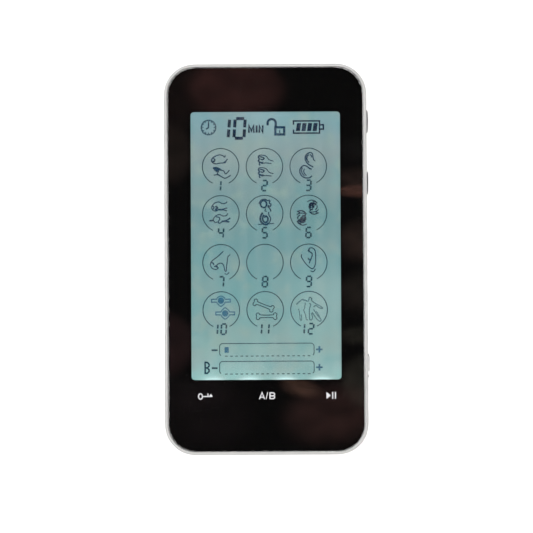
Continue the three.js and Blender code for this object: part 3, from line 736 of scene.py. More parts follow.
def stroke_edges(line, width, closed):
    """The left and right edge points of a line of even width, with mitred corners."""
    edges = []
    for i, point in enumerate(line):
        before = line[i - 1] if closed or i else point
        after = line[(i + 1) % len(line)] if closed or i < len(line) - 1 else point
        first = (point - before).normalized() if (point - before).length else None
        second = (after - point).normalized() if (after - point).length else None
        along = ((first or second) + (second or first)).normalized()
        side = Vector((-along.y, along.x))
        across = Vector((-(first or second).y, (first or second).x))
        reach = width / 2 / max(side.dot(across), 0.5)
        edges.append((point + side * reach, point - side * reach))
    return edges


def add_stroke(vertices, faces, points, width, low, high, closed=False):
    """Adds a line of even width through the points, as one flat solid."""
    line = [Vector(p) for p in points]
    count, start = len(line), len(vertices)
    for left, right in stroke_edges(line, width, closed):
        vertices += [Vector((*p, z)) for p, z in ((left, low), (right, low), (right, high), (left, high))]
    for i in range(count if closed else count - 1):
        a = start + 4 * i
        b = start + 4 * ((i + 1) % count)
        faces += [(a + k, a + (k + 1) % 4, b + (k + 1) % 4, b + k) for k in range(4)]
    if not closed:
        last = start + 4 * (count - 1)
        faces.append(tuple(start + k for k in (3, 2, 1, 0)))
        faces.append(tuple(last + k for k in (0, 1, 2, 3)))


def curve_through(points, steps, closed):
    """A smooth line through the points."""
    line = [Vector(p) for p in points]
    count = len(line)
    made = []
    for i in range(count if closed else count - 1):
        near = [k % count if closed else min(max(k, 0), count - 1) for k in range(i - 1, i + 3)]
        p0, p1, p2, p3 = (line[k] for k in near)
        for step in range(steps):
            t = step / steps
            square = (2 * p0 - 5 * p1 + 4 * p2 - p3) * t * t
            cube = (p3 - 3 * p2 + 3 * p1 - p0) * t ** 3
            made.append(0.5 * (2 * p1 + (p2 - p0) * t + square + cube))
    return made if closed else made + [line[-1]]


def arc_points(centre, radius, start, end, steps):
    """Points along an arc, with angles in degrees."""
    angles = [math.radians(start + (end - start) * k / steps) for k in range(steps + 1)]
    return [Vector((centre[0] + radius * math.cos(a), centre[1] + radius * math.sin(a))) for a in angles]


class Artwork:
    """Flat marks, drawn in millimetres, that become one thin piece.

    Each mark is a hair thinner than the one before, so that no two tops share a plane where they cross.
    """

    def __init__(self, low=DISPLAY_LEVEL + 0.01 * MM, thickness=0.02 * MM):
        self.low = low
        self.high = low + thickness
        self.vertices = []
        self.faces = []

    def stroke(self, points, width, closed=False):
        """A line of even width with square ends."""
        self.high -= HAIR
        scaled = [Vector(p) * MM for p in points]
        add_stroke(self.vertices, self.faces, scaled, width * MM, self.low, self.high, closed)

    def curve(self, points, width, closed=False, steps=5):
        """A smooth line through the points."""
        self.stroke(curve_through(points, steps, closed), width, closed)

    def fill(self, outline):
        """A filled shape."""
        self.high -= HAIR
        scaled = [(x * MM, y * MM) for x, y in outline]
        add_slab(self.vertices, self.faces, scaled, self.low, self.high)

    def piece(self, name, material):
        """Makes the marks so far one piece."""
        finish_piece(mesh_object(name, self.vertices, self.faces), material)


def moved(points, centre, scale=(1, 1), turn=0):
    """Points scaled, turned by degrees and moved."""
    spin = Matrix.Rotation(math.radians(turn), 2)
    return [spin @ Vector((x * scale[0], y * scale[1])) + Vector(centre) for x, y in points]


# Where each of a digit's seven segments starts and ends, across and up its box.
SEGMENTS = {
    "a": ((0, 1), (1, 1)), "b": ((1, 1), (1, 0.5)), "c": ((1, 0.5), (1, 0)), "d": ((0, 0), (1, 0)),
    "e": ((0, 0.5), (0, 0)), "f": ((0, 1), (0, 0.5)), "g": ((0, 0.5), (1, 0.5)),
}
# The segments that each digit lights, from 0 to 9.
DIGITS = ["abcdef", "bc", "abged", "abgcd", "fgbc", "afgcd", "afgedc", "abc", "abcdefg", "abcdfg"]


def draw_digit(art, digit, left, bottom, width, height, stroke, slant):
    """One seven-segment digit."""
    for name in DIGITS[int(digit)]:
        (x0, y0), (x1, y1) = SEGMENTS[name]
        start = Vector((left + x0 * width, bottom + y0 * height))
        end = Vector((left + x1 * width, bottom + y1 * height))
        gap = (end - start).normalized() * 0.32 * stroke
        art.stroke([(p.x + slant * (p.y - bottom), p.y) for p in (start + gap, end - gap)], stroke)


def draw_number(art, text, centre):
    """A small seven-segment number centred on a point."""
    height, width, stroke, slant = 3.0, 1.45, 0.5, 0.07
    offsets = {"1": [0], "10": [-1.1, 0.7], "11": [-1.05, 1.05], "12": [-1.4, 0.55]}
    for digit, offset in zip(text, offsets.get(text, [0])):
        share = 1 if digit == "1" else 0.5
        left = centre[0] + offset - share * width - slant * height / 2
        draw_digit(art, digit, left, centre[1] - height / 2, width, height, stroke, slant)


# ---------------- display artwork

KEY_COLUMNS = (-13.2, -0.3, 12.6)
KEY_ROWS = (27.2, 13.3, -1.1, -15.0)
KEY_RADIUS = 5.38
THIN = 0.28

# Each hand is a set of brush strokes: a width, then the points it runs through, all in millimetres.
KNEADING_HANDS = (
    (0.34, (-1.4, 0.8), (-2.3, 1.2), (-2.7, 1.95), (-2.2, 2.7), (-1.4, 3.2)),
    (0.27, (-1.4, 3.2), (-0.4, 3.5), (0.6, 3.3), (1.2, 2.85), (1.35, 3.4)),
    (0.36, (-2.2, 2.5), (-1.7, 2.1), (-1.95, 1.5), (-2.4, 1.8)),
    (0.28, (-1.4, 0.8), (-0.3, 1.05), (0.8, 1.15), (1.4, 1.6), (2.1, 2.3)),
    (0.26, (0.8, 1.15), (1.4, 1.2), (1.75, 1.95)),
    (0.5, (-2.3, -0.45), (-1.5, -0.3), (-0.7, -0.5), (0.1, -1.0)),
    (0.5, (-2.0, -0.95), (-1.2, -0.85), (-0.5, -1.25)),
    (0.42, (-1.5, -1.4), (-1.0, -1.3), (-0.6, -1.65)),
    (0.3, (0.1, -1.0), (0.9, -1.25), (1.5, -2.1), (2.6, -1.0)),
    (0.3, (-2.0, -2.5), (-1.0, -2.35), (0.2, -2.9), (1.4, -3.4), (3.0, -2.5)),
    (0.26, (-1.1, -1.7), (-0.8, -2.2), (-0.2, -2.6)),
)
FIST = (
    (0.44, (-1.45, 1.45), (-1.75, 0.9), (-1.4, 0.35)),
    (0.44, (-1.4, 0.35), (-1.75, -0.15), (-1.35, -0.65)),
    (0.36, (-1.35, -0.65), (-1.5, -1.15), (-1.25, -1.5)),
    (0.36, (-1.3, 1.05), (-0.6, 0.9), (-0.1, 0.55), (-0.55, 0.15), (-1.2, 0.35)),
    (0.42, (-1.3, -0.55), (-0.8, -0.7), (-0.3, -0.6)),
    (0.25, (-1.5, 1.5), (-0.4, 1.5), (0.6, 1.1), (1.4, 0.15), (2.7, -0.3)),
    (0.25, (-0.9, -1.0), (0.4, -0.8), (2.1, -1.0)),
)
CUPPED_HANDS = (
    (0.34, (0.7, 4.1), (-0.1, 3.8), (-0.8, 3.0), (-0.85, 2.0), (-0.4, 1.1), (0.2, 0.5), (1.5, -0.25)),
    (0.3, (0.7, 4.1), (1.25, 3.7), (1.4, 2.8), (1.6, 2.0), (2.1, 1.5)),
    (0.32, (0.3, 3.5), (-0.25, 3.0), (-0.35, 2.2), (-0.1, 1.5), (0.3, 1.1)),
    (0.24, (-0.4, 3.4), (-0.55, 2.6), (-0.45, 1.8)),
    (0.28, (0.5, 3.5), (0.95, 3.1), (0.95, 2.6)),
    (0.36, (1.0, -0.9), (0.2, -0.5), (-0.6, 0.1), (-1.6, 0.1), (-2.4, -0.9), (-2.35, -2.1), (-1.6, -3.1),
     (-0.5, -3.45), (0.5, -3.3), (1.1, -2.8)),
    (0.3, (-1.7, -0.4), (-1.95, -1.2), (-1.75, -2.1), (-1.1, -2.9)),
    (0.3, (-1.1, -0.7), (-1.35, -1.5), (-1.0, -2.3), (-0.5, -2.8)),
)
CHOPPING_HANDS = (
    (0.28, (1.9, 3.6), (1.3, 3.1), (0.4, 3.05), (-0.5, 3.5), (-1.6, 3.3), (-2.4, 2.6), (-2.7, 1.8),
     (-2.2, 1.0), (-1.4, 0.8)),
    (0.36, (-2.5, 2.4), (-2.0, 1.9), (-2.3, 1.4)),
    (0.46, (-1.6, 2.3), (-1.0, 1.8), (-1.5, 1.3), (-0.9, 1.0)),
    (0.32, (-1.4, 0.8), (-0.6, 1.3), (0.6, 1.35), (1.9, 1.75)),
    (0.32, (-0.6, 1.15), (0.6, 1.15), (1.8, 0.85)),
    (0.28, (2.0, 0.1), (1.6, -0.5), (0.6, -0.6), (-0.4, -0.2), (-1.5, -0.6), (-2.1, -1.3), (-2.2, -1.9),
     (-1.7, -2.5), (-1.0, -2.4)),
    (0.44, (-3.4, -2.0), (-2.8, -2.0), (-2.3, -1.9)),
    (0.3, (-1.4, -0.9), (-0.6, -1.0), (-0.3, -1.6), (-0.8, -2.3), (-0.4, -2.8), (0.4, -2.2)),
    (0.46, (0.3, -2.2), (1.2, -2.2), (2.5, -2.4)),
    (0.36, (1.1, -2.1), (1.9, -1.8), (2.8, -1.2)),
)
ROLLED_FISTS = (
    (0.46, (-1.2, 3.1), (-0.7, 3.8), (0.2, 3.7), (0.6, 2.8), (0.2, 1.9), (-0.7, 1.9), (-1.2, 2.6),
     (-1.2, 3.1)),
    (0.3, (-1.65, 2.9), (-1.4, 3.5), (-0.8, 4.1), (0.2, 4.25), (0.9, 3.8), (1.4, 4.0), (1.7, 3.5)),
    (0.36, (1.5, 3.8), (1.4, 3.1), (1.9, 2.7), (1.6, 2.1), (1.1, 2.4), (1.0, 1.8)),
    (0.34, (1.0, 2.2), (1.4, 1.6), (1.8, 1.0), (1.7, 0.6)),
    (0.28, (0.3, 1.5), (0.1, 0.9), (0.6, 0.6)),
    (0.3, (1.2, 0.5), (1.2, -0.3), (1.7, -1.3), (1.6, -2.2), (1.1, -2.8)),
    (0.5, (-0.6, 0.3), (-1.1, -0.6), (-1.3, -1.6), (-1.0, -2.5), (-0.3, -3.1), (0.6, -3.2), (1.1, -2.8)),
    (0.44, (-0.2, -0.3), (-0.6, -1.2), (-0.4, -2.2), (0.3, -2.6), (0.9, -2.1), (0.9, -1.2), (0.3, -0.7),
     (-0.1, -1.2)),
    (0.25, (-1.95, -3.15), (-0.9, -3.2)),
    (0.25, (1.0, -3.0), (2.8, -2.9)),
)
HUMMING_HAND = (
    (0.62, (-0.5, -0.3), (-0.8, 0.2), (-0.5, 0.75), (0.1, 0.75), (0.3, 0.3), (-0.1, -0.1)),
    (0.5, (-0.9, 0.7), (-0.3, 1.25), (0.6, 1.2), (1.1, 0.7)),
    (0.42, (-0.8, -0.9), (-0.3, -0.6), (0.2, -0.6)),
    (0.24, (-1.5, 1.6), (-0.7, 2.1), (0.3, 2.1), (1.2, 1.5)),
    (0.34, (0.1, 1.9), (0.9, 1.75), (1.4, 1.2)),
    (0.28, (1.3, 0.6), (1.4, 0.0), (0.9, -0.7)),
    (0.24, (-1.0, -1.3), (0.0, -1.35), (0.9, -1.2), (1.9, -0.6)),
    (0.3, (-0.9, -1.1), (-0.2, -1.8), (0.8, -1.95), (1.9, -1.5)),
    (0.24, (0.9, -1.2), (1.3, -1.4), (1.2, -0.9)),
)
PRESSING_HAND = (
    (0.27, (0.7, 3.4), (-0.9, 1.9), (-2.5, 0.7), (-3.1, -0.2), (-3.0, -1.1), (-2.3, -1.8), (-1.2, -1.9),
     (-0.8, -1.3)),
    (0.4, (-2.9, 0.1), (-2.4, -0.1), (-2.1, -0.6)),
    (0.42, (-2.0, -1.1), (-1.3, -1.0), (-1.1, -1.5)),
    (0.27, (-1.4, -0.8), (-0.7, -0.25), (0.2, -0.15), (0.8, -0.9), (1.1, -2.3), (1.5, -2.6)),
    (0.27, (1.5, -2.6), (1.6, -1.3), (1.8, 0.4), (2.0, 1.7), (2.5, 2.2), (2.7, 2.45)),
    (0.24, (1.0, -3.2), (1.7, -3.4), (2.4, -2.8)),
)
POINTING_HAND = (
    (0.5, (-0.1, 3.3), (0.2, 3.9)),
    (0.27, (0.0, 3.9), (0.5, 4.25), (1.3, 4.1), (1.9, 3.3), (2.05, 1.4), (1.9, -0.6), (1.4, -1.7),
     (0.7, -1.8), (-0.5, -0.8), (-1.6, 0.6), (-2.2, 1.7), (-2.0, 2.4)),
    (0.3, (-0.1, 3.2), (0.5, 3.0), (1.0, 2.5), (0.9, 1.6), (0.5, 0.7), (0.1, -0.3)),
    (0.34, (-0.2, 1.3), (0.1, 0.8), (0.7, 0.7)),
    (0.27, (0.5, -2.5), (1.3, -2.75), (2.0, -1.9)),
)
PALMS = (
    (0.36, (-3.7, 1.5), (-2.8, 2.4), (-1.8, 3.0), (-1.4, 2.5)),
    (0.34, (-1.3, 2.9), (-0.3, 2.5), (0.2, 3.6), (0.8, 3.2), (0.7, 2.7)),
    (0.3, (0.7, 2.7), (1.7, 1.9), (3.0, 1.2), (4.0, 0.4), (3.0, 0.5), (2.0, 1.2), (1.3, 0.7)),
    (0.3, (1.3, 0.1), (2.4, -1.6), (3.5, -3.0), (3.1, -3.4), (2.2, -2.7), (0.9, -0.8)),
    (0.26, (2.1, -0.4), (3.1, -2.1), (3.5, -3.0)),
    (0.3, (0.1, 1.9), (0.5, 1.4), (0.1, 0.1), (0.1, -1.6), (0.2, -2.9), (0.7, -3.0), (1.0, -2.3),
     (0.7, -1.0)),
    (0.26, (-1.1, 2.1), (-1.3, 0.4), (-1.6, -0.1), (-1.1, -1.4), (-0.8, -2.9), (-0.3, -3.0)),
    (0.24, (-3.1, 0.3), (-2.8, -1.0), (-2.6, -3.0), (-2.2, -2.9), (-2.3, -1.4)),
)


def draw_strokes(art, strokes, centre, offset=(0, 0), turn=0, weight=1.12):
    """Brush strokes about a place in a key, each wider by the weight than its table says."""
    place = (centre[0] + offset[0], centre[1] + offset[1])
    for width, *points in strokes:
        art.curve(moved(points, place, turn=turn), width * weight)


def joint_sign(art, centre, cap):
    """A joint: a ball in a round or pointed cap, between two bars."""
    art.fill(arc_points(centre, 0.95, 0, 345, 23))
    for side in ((-1, 1), (1, 1)):
        bar = [(1.2, 0.42), (2.75, 0.42), (2.75, -0.42), (1.2, -0.42)]
        art.stroke(moved(bar, centre, side), 0.34)
        for hood in ([(1.25, 0.4), (0.95, 0.95), (0, cap)], [(1.25, -0.4), (0.95, -0.95), (0, -1.75)]):
            art.curve(moved(hood, centre, side), 0.3)


def bone(art, start, end):
    """A bone's outline between two points."""
    start, end = Vector(start), Vector(end)
    reach = (end - start).length
    turn = math.degrees(math.atan2(end.y - start.y, end.x - start.x))
    knob = [(-0.75, 0.4), (-0.35, 0.85), (0.1, 1.0), (0.55, 0.65), (0.4, 0.0), (0.55, -0.65), (0.1, -1.0),
            (-0.35, -0.85), (-0.75, -0.4)]
    outline = [(reach + x, y) for x, y in knob] + [(-x, -y) for x, y in knob]
    art.curve(moved(outline, start, turn=turn), 0.27, closed=True, steps=3)


def treatment_keys(black, dark, navy, blue, faint):
    """The twelve numbered keys, each with its ring, and pictures of treatments on all keys but key 8."""
    pictures = {
        1: [(KNEADING_HANDS,)],
        2: [(FIST, (0, 1.85)), (FIST, (0, -1.85))],
        3: [(CUPPED_HANDS,)],
        4: [(CHOPPING_HANDS,)],
        5: [(ROLLED_FISTS,)],
        6: [(HUMMING_HAND, (1.15, 1.75), 0, 1.15), (HUMMING_HAND, (-1.75, -1.25), 170, 1.3)],
        7: [(PRESSING_HAND,)],
        9: [(POINTING_HAND,)],
    }
    for number in range(1, 13):
        centre = (KEY_COLUMNS[(number - 1) % 3], KEY_ROWS[(number - 1) // 3])
        art = Artwork()
        art.stroke(arc_points(centre, KEY_RADIUS, -64, 244, 56), THIN)
        draw_number(art, str(number), (centre[0], centre[1] - 5.62))
        art.piece(f"lcd_key_{number}", dark)
        if number in pictures:
            picture = Artwork()
            for strokes, *placing in pictures[number]:
                draw_strokes(picture, strokes, centre, *placing)
            picture.piece(f"lcd_hands_{number}", black if number == 6 else navy)
    bones = Artwork()
    x, y = KEY_COLUMNS[1], KEY_ROWS[3]
    bone(bones, (x - 2.85, y + 2.2), (x + 1.95, y + 0.3))
    bone(bones, (x - 2.1, y - 1.9), (x + 2.9, y - 1.9))
    bones.piece("lcd_bone_picture", dark)
    joints = Artwork()
    x, y = KEY_COLUMNS[0], KEY_ROWS[3]
    joint_sign(joints, (x - 0.1, y + 2.75), 1.4)
    joint_sign(joints, (x + 1.15, y - 1.0), 1.75)
    joints.piece("lcd_joint_picture", blue)
    palms = Artwork()
    draw_strokes(palms, PALMS, (KEY_COLUMNS[2], KEY_ROWS[3]))
    palms.piece("lcd_palm_picture", faint)


def clock_sign(material):
    """A small clock face with its hands."""
    art = Artwork()
    centre, radius = (-16.72, 38.8), 2.12
    for k in range(24):
        art.stroke(arc_points(centre, radius, 15 * k + 1, 15 * k + 13, 3), 0.46)
    mark = [(-0.17, 2.0), (0.17, 2.0), (0.07, 1.45), (-0.07, 1.45)]
    for k in range(12):
        art.fill(moved(mark, centre, turn=30 * k))
    art.stroke(moved([(0, -0.1), (0, 1.5)], centre), 0.42)
    art.stroke(moved([(0.12, 0.08), (-0.72, -0.5)], centre), 0.4)
    art.piece("lcd_clock", material)


def timer(material):
    """The minutes left, in large slanted digits, with their unit."""
    art = Artwork()
    for digit, left, slant in (("1", -13.9, 0.08), ("0", -9.25, 0.07)):
        draw_digit(art, digit, left, 35.6, 2.95, 5.8, 0.92, slant)
    low, high = 37.2, 39.35
    letters = [
        [(-4.8, low), (-4.8, high), (-4.1, 37.7), (-3.4, high), (-3.4, low)],
        [(-2.55, low), (-2.55, high)],
        [(-1.75, low), (-1.75, high), (-0.75, low), (-0.75, high)],
    ]
    for points in letters:
        art.stroke(points, 0.58)
    art.piece("lcd_timer", material)


def padlock(material):
    """An open padlock."""
    art = Artwork()
    art.stroke([(2.97, 36.64), (5.58, 36.64), (5.58, 38.76), (2.97, 38.76)], 0.68, closed=True)
    hook = [(0.73, 39.35), (0.7, 39.9), *arc_points((1.9, 40.0), 1.2, 170, 10, 12)]
    hook += [(3.1, 39.8), (3.1, 38.9)]
    art.stroke(hook, 0.7)
    art.fill([(4.06, 37.1), (4.46, 37.1), (4.4, 37.75), (4.26, 38.1), (4.12, 37.75)])
    art.piece("lcd_padlock", material)


def battery_sign(material):
    """A full battery with four slanted bars."""
    art = Artwork()
    art.stroke([(8.33, 39.5), (8.33, 40.6), (16.0, 40.6), (16.0, 37.0), (8.33, 37.0), (8.33, 38.1)], 0.46)
    art.stroke([(16.15, 39.45), (17.1, 39.45), (17.1, 38.15), (16.15, 38.15)], 0.5)
    for k in range(4):
        left = 9.0 + 1.64 * k
        art.fill([(left, 37.6), (left + 1.22, 37.6), (left + 1.58, 39.98), (left + 0.36, 39.98)])
    art.piece("lcd_battery", material)


def strength_bar(name, middle, line, dark, blue, lettered):
    """A strength bar, solid above and broken below, with a minus, a plus and a letter or a level."""
    art = Artwork()
    left, right, half, radius = -13.75, 14.0, 1.85, 0.9
    top, bottom = middle + half, middle - half
    outline = []
    for x, y, start, end, steps in (
        (left + radius, bottom + radius, 235, 180, 4),
        (left + radius, top - radius, 180, 90, 6),
        (right - radius, top - radius, 90, 0, 6),
        (right - radius, bottom + radius, 0, -55, 4),
    ):
        outline += arc_points((x, y), radius, start, end, steps)
    art.stroke(outline, THIN)
    for k in range(17):
        start = left + 1.55 + k * 1.52
        art.stroke([(start, bottom), (start + 0.8, bottom)], THIN)
    art.piece(name + "_outline", line)
    signs = Artwork()
    signs.stroke([(-16.1, middle - 0.1), (-14.35, middle - 0.1)], 0.52)
    if lettered:
        letter_b(signs, -18.0, middle - 1.6, 1.15, 3.2, 0.5)
    signs.piece(name + "_signs", dark)
    plus = Artwork()
    plus.stroke([(14.6, middle), (16.5, middle)], 0.52)
    for start, end in ((-0.95, -0.26), (0.26, 0.98)):
        plus.stroke([(15.55, middle + start), (15.55, middle + end)], 0.56)
    if not lettered:
        low, high = middle - 0.85, middle + 0.8
        plus.fill([(-12.3, low), (-11.05, low), (-11.05, high), (-12.3, high)])
    plus.piece(name + "_plus", blue)


def letter_b(art, left, bottom, width, height, stroke):
    """A capital B."""
    middle, top = bottom + 0.49 * height, bottom + height
    cut = 0.17 * height
    right, inner = left + width, left + width - cut
    art.stroke([(left, bottom - stroke / 2), (left, top + stroke / 2)], stroke)
    for low, high in ((bottom, middle - 0.01), (middle + 0.01, top)):
        upper = [(left, high), (inner, high), (right, high - cut)]
        lower = [(right, low + cut), (inner, low), (left, low)]
        art.stroke(upper + lower, stroke)


def touch_signs(material):
    """The three white signs printed under the glass below the display."""
    level = INK_LEVEL + 0.003 * MM
    thickness = 0.012 * MM
    y = -40.2
    low, high = y - 1.0, y + 1.0
    key = Artwork(level, thickness)
    bow = [(x * 0.58, v * 0.78) for x, v in arc_points((0, 0), 1, 0, 345, 23)]
    key.stroke(moved(bow, (-19.4, y - 0.12)), 0.34, closed=True)
    key.stroke([(-18.75, y - 0.12), (-16.0, y - 0.12)], 0.3)
    key.stroke([(-17.2, y), (-17.2, y + 0.75)], 0.32)
    key.fill([(-16.95, y - 0.2), (-15.8, y - 0.2), (-16.4, y + 0.62)])
    key.piece("touch_sign_key", material)
    letters = Artwork(level, thickness)
    letters.stroke([(-2.1, low), (-1.35, high), (-0.6, low)], 0.32)
    letters.stroke([(-1.8, y - 0.4), (-0.9, y - 0.4)], 0.28)
    letters.stroke([(-0.2, low - 0.05), (0.32, high + 0.05)], 0.22)
    letter_b(letters, 0.98, low + 0.15, 1.35, 1.7, 0.32)
    letters.piece("touch_sign_channel", material)
    play = Artwork(level, thickness)
    play.fill([(17.55, low), (18.85, y), (17.55, high)])
    for x in (19.37, 20.17):
        play.stroke([(x, low), (x, high)], 0.33)
    play.piece("touch_sign_play", material)


def display_artwork():
    """Everything that the display and the touch signs show."""
    black = ink("lcd_black", (0.001, 0.011, 0.032))
    navy = ink("lcd_navy", (0.003, 0.026, 0.058))
    dark = ink("lcd_dark", (0.006, 0.036, 0.056))
    blue = ink("lcd_blue", (0.024, 0.100, 0.165))
    line = ink("lcd_line", (0.035, 0.085, 0.095))
    faint = ink("lcd_faint", (0.065, 0.135, 0.15))
    white = ink("white_print", (0.56, 0.56, 0.58))
    treatment_keys(black, dark, navy, blue, faint)
    clock_sign(navy)
    timer(black)
    padlock(navy)
    battery_sign(black)
    strength_bar("lcd_bar_a", -26.7, line, dark, blue, False)
    strength_bar("lcd_bar_b", -31.95, line, dark, blue, True)
    touch_signs(white)


# ---------------- inner pieces kept from the frame

def dress(nodes, material):
    """Gives CAD nodes a finished material and slightly rounded edges."""
    share, widest = 0.12, 0.12 * MM
    for name in nodes:
        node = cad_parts[name]
        node.data.materials.clear()
        node.data.materials.append(material)
        smooth(node, 30)
        low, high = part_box(name)
        modifier = node.modifiers.new("edges", "BEVEL")
        modifier.width = min(share * min(high - low), widest)
        modifier.segments = 2
        modifier.limit_method = "ANGLE"
        modifier.angle_limit = math.radians(40)
        flat_faces(node)


def circuit_board():
    """Green solder mask over a net of copper tracks, with a weave under it."""
    surface = Surface("circuit_board", (0.012, 0.13, 0.045), 0.35, Coat_Weight=0.4, Coat_Roughness=0.15)
    tracks = surface.times(surface.bands(1.27 * MM, "X"), surface.bands(1.9 * MM, "Y"))
    copper = surface.spread(tracks, 0, 1, 0.35, 0.45)
    weave = surface.add(surface.bands(0.3 * MM, "X"), surface.bands(0.3 * MM, "Y"))
    surface.paint(surface.mix(copper, surface.color, (0.03, 0.24, 0.09, 1)))
    surface.polish(weave, 0.06)
    return surface.bump(surface.add(surface.times(copper, 0.7), surface.times(weave, 0.1)), 0.03 * MM)


def pouch_foil():
    """Laminated battery foil with soft wrinkles."""
    surface = Surface("pouch_foil", (0.55, 0.56, 0.58), 0.3, Metallic=0.8)
    wrinkles = surface.noise(5 * MM, 5, (1, 0.4, 1))
    surface.mottle(surface.noise(12 * MM), 0.12)
    surface.polish(wrinkles, 0.1)
    return surface.bump(wrinkles, 0.15 * MM)


def foam():
    """Closed-cell foam."""
    surface = Surface("foam", (0.02, 0.02, 0.02), 0.9)
    pores = surface.cells(0.15 * MM)
    surface.mottle(pores, 0.5)
    surface.polish(pores, 0.08)
    return surface.bump(pores, 0.05 * MM)


def striped(name, color, other, roughness, pitch, change, depth):
    """Even stripes of two colours, raised a little."""
    surface = Surface(name, color, roughness)
    stripes = surface.bands(pitch, "X")
    surface.paint(surface.mix(stripes, surface.color, (*other, 1)))
    surface.polish(stripes, change)
    return surface.bump(stripes, depth)


def dotted_acrylic():
    """A clear light guide whose back is printed with fine dots."""
    surface = Surface("dotted_acrylic", (0.82, 0.9, 0.89), 0.12)
    dots = surface.spread(surface.cells(0.6 * MM), 1, 0, 0.2, 0.35)
    surface.mottle(dots, 0.15)
    surface.polish(dots, 0.08)
    return surface.bump(dots, 0.01 * MM)


def rear_film():
    """The polariser behind the display's glass."""
    surface = Surface("rear_film", (0.33, 0.42, 0.4), 0.25)
    surface.mottle(surface.noise(3 * MM), 0.1)
    return surface.bump(surface.noise(0.4 * MM), 0.003 * MM)


def display_pieces(white):
    """Materials for the touch panel and the layers of the display."""
    black, amber, copper = (0.0010, 0.0009, 0.0009), (0.55, 0.24, 0.04), (0.35, 0.12, 0.02)
    pink, dark = (0.45, 0.12, 0.14), (0.03, 0.02, 0.02)
    mask = moulded("black_mask", black, 0.6, 0.3 * MM, 0.001 * MM, Specular_IOR_Level=0.0)
    dress(["mask_film"], mask)
    dress(["touch_sensor"], thin_glass("touch_glass", (0.75, 0.8, 0.8), 4.5 * MM))
    dress(["lcd_front_polariser"], lit_film())
    dress(["lcd_front_glass", "lcd_rear_glass"], thin_glass("display_glass", (0.6, 0.75, 0.72)))
    dress(["lcd_rear_polariser"], rear_film())
    dress(["light_guide"], dotted_acrylic())
    dress(["reflector_sheet"], moulded("reflector_film", (0.85, 0.85, 0.84), 0.3))
    dress(["touch_flex"], striped("flex_film", amber, copper, 0.3, 0.5 * MM, 0.08, 0.02 * MM))
    dress(["lcd_zebra_strip"], striped("striped_rubber", pink, dark, 0.6, 0.1 * MM, 0.1, 0.01 * MM))
    dress(["lcd_holder"], white)


def inner_pieces(black, metal, screw):
    """Materials for what the case holds."""
    white = moulded("white_nylon", (0.80, 0.80, 0.76), 0.45)
    display_pieces(white)
    epoxy = moulded("chip_epoxy", (0.018, 0.018, 0.02), 0.5, 0.08 * MM, 0.01 * MM)
    chips = ["touch_controller", "microcontroller", "channel_a_driver", "channel_b_driver"]
    dress(chips + ["charge_controller"], epoxy)
    dress(["lens_tape", "lcd_gasket", "battery_tape"], foam())
    dress(["main_board", "battery_protection_board", "led_strip"], circuit_board())
    dress(["flex_connector", "battery_plug", "battery_header"], white)
    dress(["backlight_led_1", "backlight_led_2"], moulded("lamp_package", (0.85, 0.83, 0.6), 0.3))
    dress(["buzzer", "switch_base", "switch_actuator", "jack_a_housing", "jack_b_housing"], black)
    dress(["crystal", "switch_can"], metal)
    dress(["output_capacitor"], brushed("can_aluminium", (0.66, 0.67, 0.68), 0.3, (1, 0.04, 1)))
    dress(["boost_inductor"], moulded("ferrite", (0.05, 0.05, 0.055), 0.6, 0.12 * MM, 0.02 * MM))
    dress(["battery_cell"], pouch_foil())
    dress(["battery_lead_red"], moulded("red_insulation", (0.45, 0.015, 0.012), 0.45))
    dress(["battery_lead_black"], moulded("black_insulation", (0.015, 0.015, 0.015), 0.45))
    dress(["jack_a_tip_spring", "jack_b_tip_spring"], brushed("spring_brass", (0.72, 0.5, 0.22), 0.25))
    dress([f"board_screw_{i}" for i in range(1, 4)], screw)


# ---------------- stage

def soft_lamp(name, place, size, power, color):
    """A square lamp that looks at the unit."""
    data = bpy.data.lights.new(name, "AREA")
    data.size = size
    data.energy = power
    data.color = color
    lamp = bpy.data.objects.new(name, data)
    lamp.location = place
    lamp.rotation_euler = (-Vector(place)).to_track_quat("-Z", "Y").to_euler()
    bpy.context.scene.collection.objects.link(lamp)


def sheet(name, half, level, material):
    """A flat square for the stage."""
    corners = [Vector((x * half, y * half, level)) for x, y in ((-1, -1), (1, -1), (1, 1), (-1, 1))]
    made = mesh_object(name, corners, [(0, 1, 2, 3)])
    made.data.materials.append(material)
    return made


def floor():
    """A plain pale floor, lit from below like a light table, and more so where the lamps don't reach."""
    surface = Surface("floor_paper", (0.93, 0.93, 0.93), 0.9)
    surface.mottle(surface.noise(0.2, 2), 0.01)
    surface.bump(surface.noise(0.8 * MM, 3), 0.01 * MM)
    surface.shader.inputs["Emission Color"].default_value = (1, 1, 1, 1)
    away = surface.node("ShaderNodeVectorMath", Vector=surface.place)
    away.operation = "LENGTH"
    glow = surface.spread(away.outputs["Value"], 0.36, 1.1, 0.3, 2)
    surface.feed(surface.shader.inputs["Emission Strength"], glow)
    sheet("floor", 12.0, -0.02 * MM, surface.material)


def glow_material(name, color, soft):
    """A light that fades in uneven clouds from the middle of a clear card outwards."""
    surface = Textures(name)
    surface.tree.nodes.remove(surface.tree.nodes["Principled BSDF"])
    distance = surface.node("ShaderNodeTexGradient", Vector=surface.place)
    distance.gradient_type = "SPHERICAL"
    fade = surface.node("ShaderNodeMapRange", Value=distance.outputs["Fac"], From_Max=soft)
    fade.interpolation_type = "SMOOTHSTEP"
    clouds = surface.spread(surface.noise(1 / 1.7), 0.5, 1, 0.35, 0.65)
    strength = surface.times(fade.outputs[0], clouds)
    light = surface.node("ShaderNodeEmission", Color=(*color, 1), Strength=strength).outputs[0]
    clear = surface.node("ShaderNodeBsdfTransparent").outputs[0]
    return surface.finish(surface.blend("ShaderNodeAddShader", light, clear))


